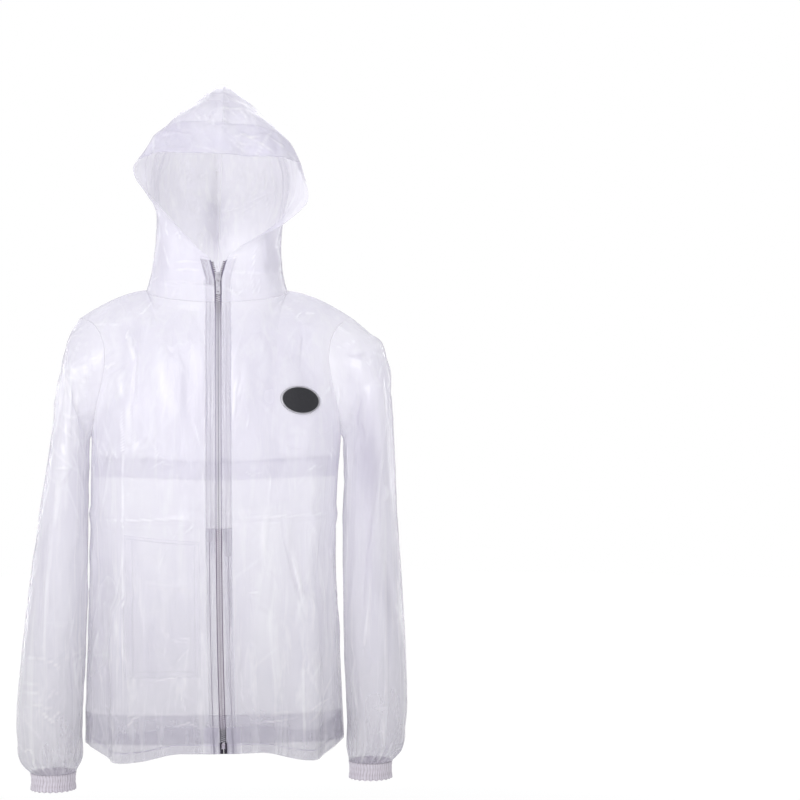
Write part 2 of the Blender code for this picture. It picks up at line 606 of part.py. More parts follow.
def vent_flap():
    """The layer over the upper back, and the three studs that hold it down."""
    grid = back_grid()
    layer("back_vent_flap", grid, FLAP_ROWS, FLAP_COLUMNS, SEAM_GAP, LAYER, "clear_film")
    for name, x in zip(("right", "centre", "left"), STUD_X):
        disc(f"vent_stud_{name}", grid, (x, STUD_Z), (STUD_RADIUS, STUD_RADIUS), 0.0, STUD_HEIGHT,
             LAYER, "clear_film", STUD_SIDES)


def disc(name, grid, centre, half, tilt, thickness, layers, material, sides):
    """An oval plate that follows the panel under it, above the layers that lie there."""
    turn = np.linspace(0, 2 * np.pi, sides, endpoint=False)
    edge = np.stack([np.cos(turn) * half[0], np.sin(turn) * half[1]], axis=1)
    spin = np.array([[np.cos(tilt), np.sin(tilt)], [-np.sin(tilt), np.cos(tilt)]])
    flat = np.concatenate([[(0.0, 0.0)], edge * 0.5, edge]) @ spin + centre
    points, away = on_panel(grid, flat)
    lowest = layers + SEAM_GAP + DISC_LIFT
    base, top = points + away * lowest, points + away * (lowest + thickness)
    count = len(flat)
    faces = []
    for i in range(sides):
        j = (i + 1) % sides
        inner, outer = (1 + i, 1 + j), (1 + sides + i, 1 + sides + j)
        up = [(0, inner[0], inner[1]), (inner[0], outer[0], outer[1]), (inner[0], outer[1], inner[1])]
        faces += [tuple(v + count for v in face) for face in up]
        faces += [tuple(reversed(face)) for face in up]
        faces += [(outer[0], outer[1], outer[1] + count), (outer[0], outer[1] + count, outer[0] + count)]
    if away[1] > 0:
        faces = [tuple(reversed(face)) for face in faces]
    new_object(name, np.concatenate([base, top]), faces, material)


def on_panel(grid, flat):
    """The points of a panel at places x, z, and the panel's normal at the first of them."""
    fine = finer(grid, PLATE_DETAIL)
    normal = normals(fine, wrap=False)
    points = []
    for x, z in flat:
        away = (fine[..., 0] - x) ** 2 + (fine[..., 2] - z) ** 2
        nearest = np.unravel_index(away.argmin(), away.shape)
        point, out = fine[nearest], normal[nearest]
        points.append((x, point[1] - (out[0] * (x - point[0]) + out[2] * (z - point[2])) / out[1], z))
        if len(points) == 1:
            first = out
    return np.array(points), first


def patch_pocket():
    """The pocket on the right front, a layer on the panel."""
    grid = outward(quarter_grid("right", "front"))
    layer("patch_pocket", grid, POCKET_ROWS, POCKET_COLUMNS, SEAM_GAP, LAYER, "clear_film")


def hem_turnings():
    """The hem's doubled film, inside the front panels and the back."""
    for side, cols in (("left", (1, QUARTER)), ("right", (0, QUARTER - 1))):
        grid = outward(quarter_grid(side, "front"))
        layer(f"hem_turning_front_{side}", grid, (0, 1), cols, *INSIDE, "clear_film",
              FRONT_LEVEL[side], crossed=side == "left")
    layer("hem_turning_back", back_grid(), (0, 1), (0, 2 * QUARTER), *INSIDE, "clear_film", BACK_LEVEL)


def sleeves():
    """Both sleeves, and the shirred cuffs below them."""
    along = np.concatenate([SLEEVE_CAP, np.linspace(*SLEEVE_EVEN), SLEEVE_GATHER])
    for side in ("left", "right"):
        rings = outward(sleeve_rings(side, along)[::-1], wrap=True)
        wall(f"sleeve_{side}", rings, FILM, "clear_film", wrap=True, level={"low": "z", "high": "x"})
        cuff(side)


def cuff(side):
    """An elastic ring as wide as the sleeve's end, its ribs raised on the outside."""
    ring = sleeve_rings(side, np.array([1.0]))[0]
    centre = (ring.max(axis=0) + ring.min(axis=0)) / 2
    half = (ring.max(axis=0) - ring.min(axis=0))[:2] / 2
    turn = np.linspace(0, 2 * np.pi, 2 * CUFF_RIBS, endpoint=False)
    rib = CUFF_RIB_RELIEF * np.tile([0, 1], CUFF_RIBS)
    top = ring[0, 2] - SEAM_GAP
    rows = []
    for share in np.linspace(0, 1, CUFF_ROWS):
        out = rib + CUFF_FLARE * (2 * share - 1) ** 2 - CUFF_FLARE
        x = centre[0] + (half[0] + out) * np.cos(turn)
        y = centre[1] + (half[1] + out) * np.sin(turn)
        rows.append(np.stack([x, y, np.full_like(x, top - CUFF_HEIGHT * (1 - share))], axis=1))
    rings = outward(np.array(rows), wrap=True)
    wall(f"cuff_{side}", rings, CUFF_WALL, "cuff_elastic", wrap=True, level={"low": "z", "high": "z"})


def hood():
    """The hood's two halves, joined along the centre, and the doubled brim over them."""
    halves = {}
    for side in ("left", "right"):
        grid = hood_grid(side)
        level = {"low": "z", "high": "x"}
        level["last" if side == "left" else "first"] = "x"
        wall(f"hood_{side}", outward(grid), FILM, "clear_film", level=level)
        halves[side] = grid[:, :BRIM_COLUMNS + 2]
    over = np.concatenate([halves["right"][:-1], halves["left"][::-1]]).swapaxes(0, 1)
    ends = (BRIM_START_ROW, over.shape[1] - 1 - BRIM_START_ROW)
    layer("hood_brim", over, (0, BRIM_COLUMNS), ends, SEAM_GAP, LAYER, "clear_film", crossed=True)


# ---------------------------------------------------------------- zip
def front_edge(side):
    """The first two columns of the film beside the zip, from the hem to the zip's top."""
    beside_hood = hood_grid(side)[1:HOOD_NECK_ROWS + 1, :2]
    return np.concatenate([quarter_grid(side, "front")[:, :2], beside_hood])


def zip_strip(side, offsets):
    """Points at these distances from the film's edge, below zero towards the teeth."""
    sign = 1 if side == "left" else -1
    rows = []
    for row in front_edge(side):
        distance = sign * (row[:, 0] - row[0, 0])
        strip = []
        for offset in offsets:
            y = np.interp(offset, distance, row[:, 1])
            z = np.interp(offset, distance, row[:, 2])
            strip.append((row[0, 0] + sign * offset, y, z))
        rows.append(strip)
    return np.array(rows)


def zip_sides():
    """A tape behind each film edge, with its row of teeth."""
    for side in ("left", "right"):
        inner = TAPE_INNER - FILM_TO_ZIP_CENTRE
        outer = TAPE_OUTER - FILM_TO_ZIP_CENTRE
        tape = outward(zip_strip(side, np.linspace(inner, outer, 4))) + (0, TAPE_SET_BACK, 0)
        shell(f"zip_tape_{side}", tape, tape + (0, TAPE, 0), "zip_tape")
        near = SEAM_GAP / 2 - FILM_TO_ZIP_CENTRE
        row = zip_strip(side, (near, near + TOOTH_WIDTH))
        row[0] += TEETH_END_ABOVE_HEM / (row[1, 0, 2] - row[0, 0, 2]) * (row[1] - row[0])
        row = outward(row) + (0, TEETH_SET_BACK - TOOTH_THICKNESS / 2, 0)
        shell(f"zip_teeth_{side}", row, row + (0, TOOTH_THICKNESS, 0), "zip_teeth")


def teeth_middle(z):
    """Depth of the middle of the teeth at a height."""
    strip = front_edge("left")[:, 0]
    return np.interp(z, strip[:, 2], strip[:, 1]) + TEETH_SET_BACK


def slider():
    """Two plates joined by a post between the parted teeth, and the bridge that holds the tab."""
    x, y = zip_centre(SLIDER_LOW), teeth_middle(SLIDER_LOW)
    front = box("zip_slider", (x - SLIDER_HALF_WIDTH, y - PLATE_GAP - SLIDER_PLATE, SLIDER_LOW),
                (x + SLIDER_HALF_WIDTH, y - PLATE_GAP, SLIDER_HIGH), "zip_metal")
    rear = box("guide_rear_plate", (x - SLIDER_HALF_WIDTH, y + PLATE_GAP, SLIDER_LOW),
               (x + SLIDER_HALF_WIDTH, y + PLATE_GAP + SLIDER_PLATE, SLIDER_HIGH), "zip_metal")
    into = SLIDER_PLATE / 2
    post = box("guide_post", (x - POST_HALF_WIDTH, y - PLATE_GAP - into, POST_LOW),
               (x + POST_HALF_WIDTH, y + PLATE_GAP + into, POST_HIGH), "zip_metal")
    bridge = box("guide_bridge", (x - BRIDGE_HALF_WIDTH, y - BRIDGE_REACH, BRIDGE_LOW),
                 (x + BRIDGE_HALF_WIDTH, y - PLATE_GAP - into, BRIDGE_HIGH), "zip_metal")
    under = box("guide_under_bridge",
                (x - 2 * BRIDGE_HALF_WIDTH, y - BRIDGE_REACH + BRIDGE_BAR, BRIDGE_LOW + BRIDGE_BAR),
                (x + 2 * BRIDGE_HALF_WIDTH, y - PLATE_GAP - SLIDER_PLATE, BRIDGE_HIGH - BRIDGE_BAR),
                "zip_metal")
    combined(bridge, [under], "DIFFERENCE")
    combined(front, [rear, post, bridge], "UNION")


def pull_tab():
    """The tab on its crossbar, which turns under the slider's bridge."""
    x = zip_centre(SLIDER_LOW)
    axis = np.array([x, teeth_middle(SLIDER_LOW) - PULL_AXIS_FORWARD, PULL_AXIS_Z])
    half = (PULL_HALF_WIDTH, PULL_THICKNESS / 2)
    tab = box("zip_pull_tab", (x - half[0], axis[1] - half[1], PULL_END_Z),
              (x + half[0], axis[1] + half[1], PULL_TOP_Z), "zip_metal")
    window = box("guide_window", (x - PULL_WINDOW_HALF, axis[1] - THROUGH, PULL_WINDOW_LOW),
                 (x + PULL_WINDOW_HALF, axis[1] + THROUGH, PULL_AXIS_Z + THROUGH), "zip_metal")
    bar = rod("guide_bar", axis, PULL_BAR_RADIUS, PULL_BAR_LENGTH, "x", "zip_metal")
    hole = rod("guide_hole", axis * (1, 1, 0) + (0, 0, PULL_HOLE_Z), PULL_HOLE_RADIUS, 2 * THROUGH,
               "y", "zip_metal")
    combined(tab, [window, hole], "DIFFERENCE")
    combined(tab, [bar], "UNION")
    hinge = bpy.data.objects.new("pull_hinge", None)
    hinge.location = axis
    bpy.context.scene.collection.objects.link(hinge)
    bpy.context.view_layer.update()
    tab.parent = hinge
    tab.matrix_parent_inverse = Matrix.Translation(-Vector(axis))


def bottom_stop():
    """The stop that closes the zip's lower end."""
    z = front_edge("left")[0, 0, 2] + TEETH_END_ABOVE_HEM
    x, y = zip_centre(z), teeth_middle(z)
    box("zip_bottom_stop", (x - STOP_HALF_WIDTH, y - STOP_HALF_DEPTH, z + STOP_LOW),
        (x + STOP_HALF_WIDTH, y + STOP_HALF_DEPTH, z + STOP_HIGH), "zip_metal", STOP_ROUNDING)


def main():
    for old in list(bpy.data.objects):
        bpy.data.objects.remove(old, do_unlink=True)
    fronts()
    back()
    vent_flap()
    patch_pocket()
    hem_turnings()
    sleeves()
    hood()
    zip_sides()
    slider()
    pull_tab()
    bottom_stop()
    disc("chest_badge", quarter_grid("left", "front"), BADGE_CENTRE, BADGE_HALF, BADGE_TILT,
         BADGE_THICKNESS, 0.0, "badge_black", BADGE_SIDES)


main()
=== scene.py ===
"""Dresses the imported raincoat: clear film panels with their creases and welds, zip, studs, cuffs.

Metres, +Z up, the front faces -Y and +X is the wearer's left. Every piece of film is a surface
worked out on a grid: the body's, sleeves' and hood's forms come from short tables of sections,
creases move the surface out or in along its normals, and a wall is given by a second face.
"""
import bpy
import numpy as np
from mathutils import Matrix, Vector


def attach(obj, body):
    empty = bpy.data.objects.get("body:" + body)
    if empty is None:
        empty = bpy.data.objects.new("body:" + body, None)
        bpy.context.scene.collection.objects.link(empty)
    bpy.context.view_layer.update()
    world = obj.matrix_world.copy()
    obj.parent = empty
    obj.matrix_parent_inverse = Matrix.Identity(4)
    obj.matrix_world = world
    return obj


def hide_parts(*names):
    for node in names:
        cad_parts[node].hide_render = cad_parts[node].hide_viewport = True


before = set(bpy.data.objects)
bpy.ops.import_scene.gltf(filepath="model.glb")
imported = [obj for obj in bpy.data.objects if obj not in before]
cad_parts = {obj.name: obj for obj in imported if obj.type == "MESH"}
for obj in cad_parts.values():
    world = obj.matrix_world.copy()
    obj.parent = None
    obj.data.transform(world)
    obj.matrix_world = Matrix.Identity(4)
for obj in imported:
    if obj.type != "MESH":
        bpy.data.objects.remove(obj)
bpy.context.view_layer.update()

bl_info = {
    "name": "Clear raincoat",
    "version": (1, 0, 0),
    "blender": (4, 5, 0),
    "location": "View3D > Sidebar > Raincoat",
    "description": "Builds the film, welds, zip, studs and cuffs of a clear hooded raincoat",
    "category": "Add Mesh",
}

# ---------------------------------------------------------------- form, from the maker's sizes
SIGN = {"left": 1, "right": -1}
SEAM_GAP = 0.0003
LAYER, LAYER_GAP = 0.0015, 0.0009   # the solids' next layer, and the air under an outer one
NECK_HALF_WIDTH, NECK_DEPTH = 0.105, 0.074
SHOULDER_TIP_X, SHOULDER_TIP_Z, SHOULDER_ROUND = 0.204, -0.042, 1.6
NECK_SHARE = 5 / 9
UNDERARM, UNDERARM_Z = 0.645, -0.215
ARMHOLE_REACH = {"front": 0.066, "back": 0.070}
DRAWN_IN = 3.5
BODY = (
    ("section", "rise", "front_z", "side_z", "back_z", "right", "left", "front", "back", "square",
     "level", "corner"),
    ("hem", 0.0, -0.673, -0.674, -0.708, 0.1985, 0.1905, 0.137, 0.126, 2.1, 3.6, 0.016),
    ("hip", 0.20, -0.544, -0.535, -0.560, 0.1940, 0.1840, 0.135, 0.119, 2.2, 2.4, 0.004),
    ("waist", 0.40, -0.415, -0.395, -0.410, 0.1900, 0.1775, 0.134, 0.113, 2.4, 1.8, 0.0),
    ("ribs", 0.55, -0.315, -0.286, -0.300, 0.1880, 0.1800, 0.133, 0.118, 2.6, 1.6, 0.0),
    ("underarm", 0.645, -0.252, -0.215, -0.228, 0.1870, 0.1850, 0.131, 0.123, 2.7, 1.6, 0.0),
    ("chest", 0.75, -0.183, -0.180, -0.150, 0.1865, 0.1860, 0.125, 0.124, 2.7, 1.6, 0.0),
    ("yoke", 0.87, -0.105, -0.090, -0.060, 0.1920, 0.1920, 0.106, 0.110, 2.2, 1.6, 0.0),
    ("neck", 1.0, -0.019, -0.042, 0.022, 0.2040, 0.2040, 0.074, 0.074, 1.5, 1.6, 0.0),
)
CORNER = (0.58, 0.34)
SLEEVE_NAMES = ("section", "along", "outer_x", "outer_z", "inner_x", "inner_z", "forward",
                "half_depth")
SLEEVE = {
    "left": (
        SLEEVE_NAMES,
        ("cap", 0.05, 0.2280, -0.0620, 0.1890, -0.224, 0.000, 0.072),
        ("tip", 0.11, 0.2530, -0.0940, 0.1900, -0.236, 0.001, 0.077),
        ("upper arm", 0.20, 0.2610, -0.1550, 0.1905, -0.262, 0.003, 0.080),
        ("biceps", 0.34, 0.2650, -0.2500, 0.1900, -0.305, 0.006, 0.079),
        ("elbow", 0.54, 0.2735, -0.3900, 0.1880, -0.400, 0.010, 0.073),
        ("forearm", 0.74, 0.2830, -0.5450, 0.1895, -0.545, 0.016, 0.065),
        ("blouse", 0.90, 0.2815, -0.6550, 0.1945, -0.655, 0.020, 0.056),
        ("gather", 0.965, 0.2740, -0.6910, 0.1955, -0.691, 0.021, 0.047),
        ("cuff", 1.0, 0.2620, -0.7085, 0.1965, -0.7085, 0.022, 0.031),
    ),
    "right": (
        SLEEVE_NAMES,
        ("cap", 0.05, 0.2180, -0.0650, 0.1905, -0.224, 0.000, 0.072),
        ("tip", 0.11, 0.2270, -0.1000, 0.1915, -0.236, 0.001, 0.077),
        ("upper arm", 0.20, 0.2390, -0.1650, 0.1925, -0.262, 0.003, 0.080),
        ("biceps", 0.34, 0.2530, -0.2550, 0.1930, -0.305, 0.006, 0.079),
        ("elbow", 0.54, 0.2750, -0.3950, 0.1940, -0.405, 0.010, 0.073),
        ("forearm", 0.74, 0.2930, -0.5500, 0.1980, -0.550, 0.016, 0.065),
        ("blouse", 0.90, 0.2975, -0.6640, 0.2030, -0.664, 0.020, 0.056),
        ("gather", 0.965, 0.2905, -0.7000, 0.2055, -0.700, 0.021, 0.047),
        ("cuff", 1.0, 0.2780, -0.7170, 0.2110, -0.7170, 0.022, 0.031),
    ),
}
CUFF_HEIGHT, CUFF_WALL = 0.025, 0.0016
GATHERS, GATHER_STAND = 12, 0.0022
GATHER_MIDDLE, GATHER_REACH = 0.965, 0.09
HOOD = (
    ("rib", "around", "neck_x", "neck_y", "neck_z", "cheek_x", "cheek_y", "cheek_z",
     "wide_x", "wide_y", "wide_z", "apex_y", "apex_z", "square"),
    ("face edge", 0.0, 0.0135, -0.074, 0.042, 0.054, -0.084, 0.082,
     0.123, -0.100, 0.154, -0.139, 0.191, 5.0),
    ("brim seam", 0.14, 0.060, -0.068, 0.048, 0.083, -0.070, 0.100,
     0.114, -0.078, 0.152, -0.106, 0.240, 3.0),
    ("temple", 0.36, 0.0905, -0.041, 0.050, 0.0925, -0.042, 0.100,
     0.1010, -0.043, 0.160, -0.055, 0.284, 1.9),
    ("crown", 0.58, 0.0930, 0.006, 0.052, 0.0925, 0.007, 0.104,
     0.0960, 0.010, 0.165, -0.006, 0.3060, 1.5),
    ("back", 0.80, 0.0680, 0.052, 0.058, 0.0700, 0.056, 0.104,
     0.0790, 0.066, 0.165, 0.050, 0.286, 1.9),
    ("centre back", 1.0, 0.0, 0.076, 0.062, 0.0, 0.085, 0.102,
     0.0, 0.111, 0.165, 0.088, 0.258, 2.0),
)
HOOD_KNOTS = (0.0, 0.20, 0.35, 0.50)
HOOD_ARCH = np.radians([25, 50, 72, 90])
HOOD_LEAN, HOOD_TILT = 0.036, 0.20
HOOD_ROUNDED = 0.028                # how far from the centre the back of the head is rounded
BRIM_DROOP = {"left": 0.030, "right": -0.002}
BRIM_DROOP_REACH = (0.22, 0.40)
BRIM_SEAM = 0.14                    # around the hood
BRIM_END = 0.60                     # up the hood, on each side
FOLDS = (
    ("piece", "x1", "z1", "x2", "z2", "stand", "half_width"),
    ("front", -0.140, -0.180, -0.137, -0.700, 0.0045, 0.030),
    ("front", 0.139, -0.200, 0.130, -0.700, 0.0045, 0.030),
    ("front", -0.138, -0.470, -0.137, -0.720, 0.0090, 0.030),
    ("front", 0.131, -0.470, 0.130, -0.720, 0.0080, 0.030),
    ("front", -0.190, -0.337, 0.190, -0.337, 0.0022, 0.018),
    ("front", -0.118, -0.060, -0.108, -0.215, -0.0035, 0.026),
    ("front", 0.128, -0.070, 0.146, -0.240, -0.0030, 0.026),
    ("front", 0.118, -0.345, 0.126, -0.520, -0.0035, 0.024),
    ("back", 0.136, -0.250, 0.134, -0.720, 0.0040, 0.030),
    ("back", -0.128, -0.200, -0.140, -0.700, 0.0040, 0.030),
    ("back", 0.000, -0.240, 0.002, -0.440, 0.0025, 0.026),
    ("back", -0.190, -0.337, 0.190, -0.337, 0.0022, 0.018),
    ("back", -0.100, -0.070, -0.122, -0.300, -0.0030, 0.028),
    ("back", 0.104, -0.060, 0.110, -0.240, -0.0030, 0.028),
)
HEM_TURNED = 0.04
HEM_RISE = 0.040 / 0.654            # share of the front's height that the hem's turning takes
HEM_SET_IN = 0.0004                 # the turning behind the film's inner face
POCKET_ACROSS, POCKET_RISE = (1 / 9, 5 / 9), (0.172, 0.473)
FLAP_ACROSS, FLAP_RISE = 8 / 9, (0.559, 0.921)
STUD_Z, STUD_X = -0.262, {"right": -0.113, "centre": 0.010, "left": 0.101}
BADGE_CENTRE, BADGE_HALF, BADGE_TILT = (0.120, -0.163), (0.0295, 0.0200), np.radians(-10.0)
BADGE_LIFT = 0.0012
ZIP_TOP, ZIP_HEM, ZIP_BEND = (0.0012, 0.042), (0.0082, -0.672), 5
FILM_TO_ZIP_CENTRE = 0.0050
TAPE_INNER, TAPE_OUTER = 0.0033, 0.0190
TAPE_SET_BACK, TAPE_WALL = LAYER + 0.0005, 0.0009
TEETH_SET_BACK = 0.0020
OPENING_Z, OPENING_SLOPE = 0.0145, 0.27
TEETH_END_ABOVE_HEM = 0.016
TOOTH_MIDDLE, TOOTH_SIZE = 0.0014, np.array([0.0034, 0.0016, 0.0022])

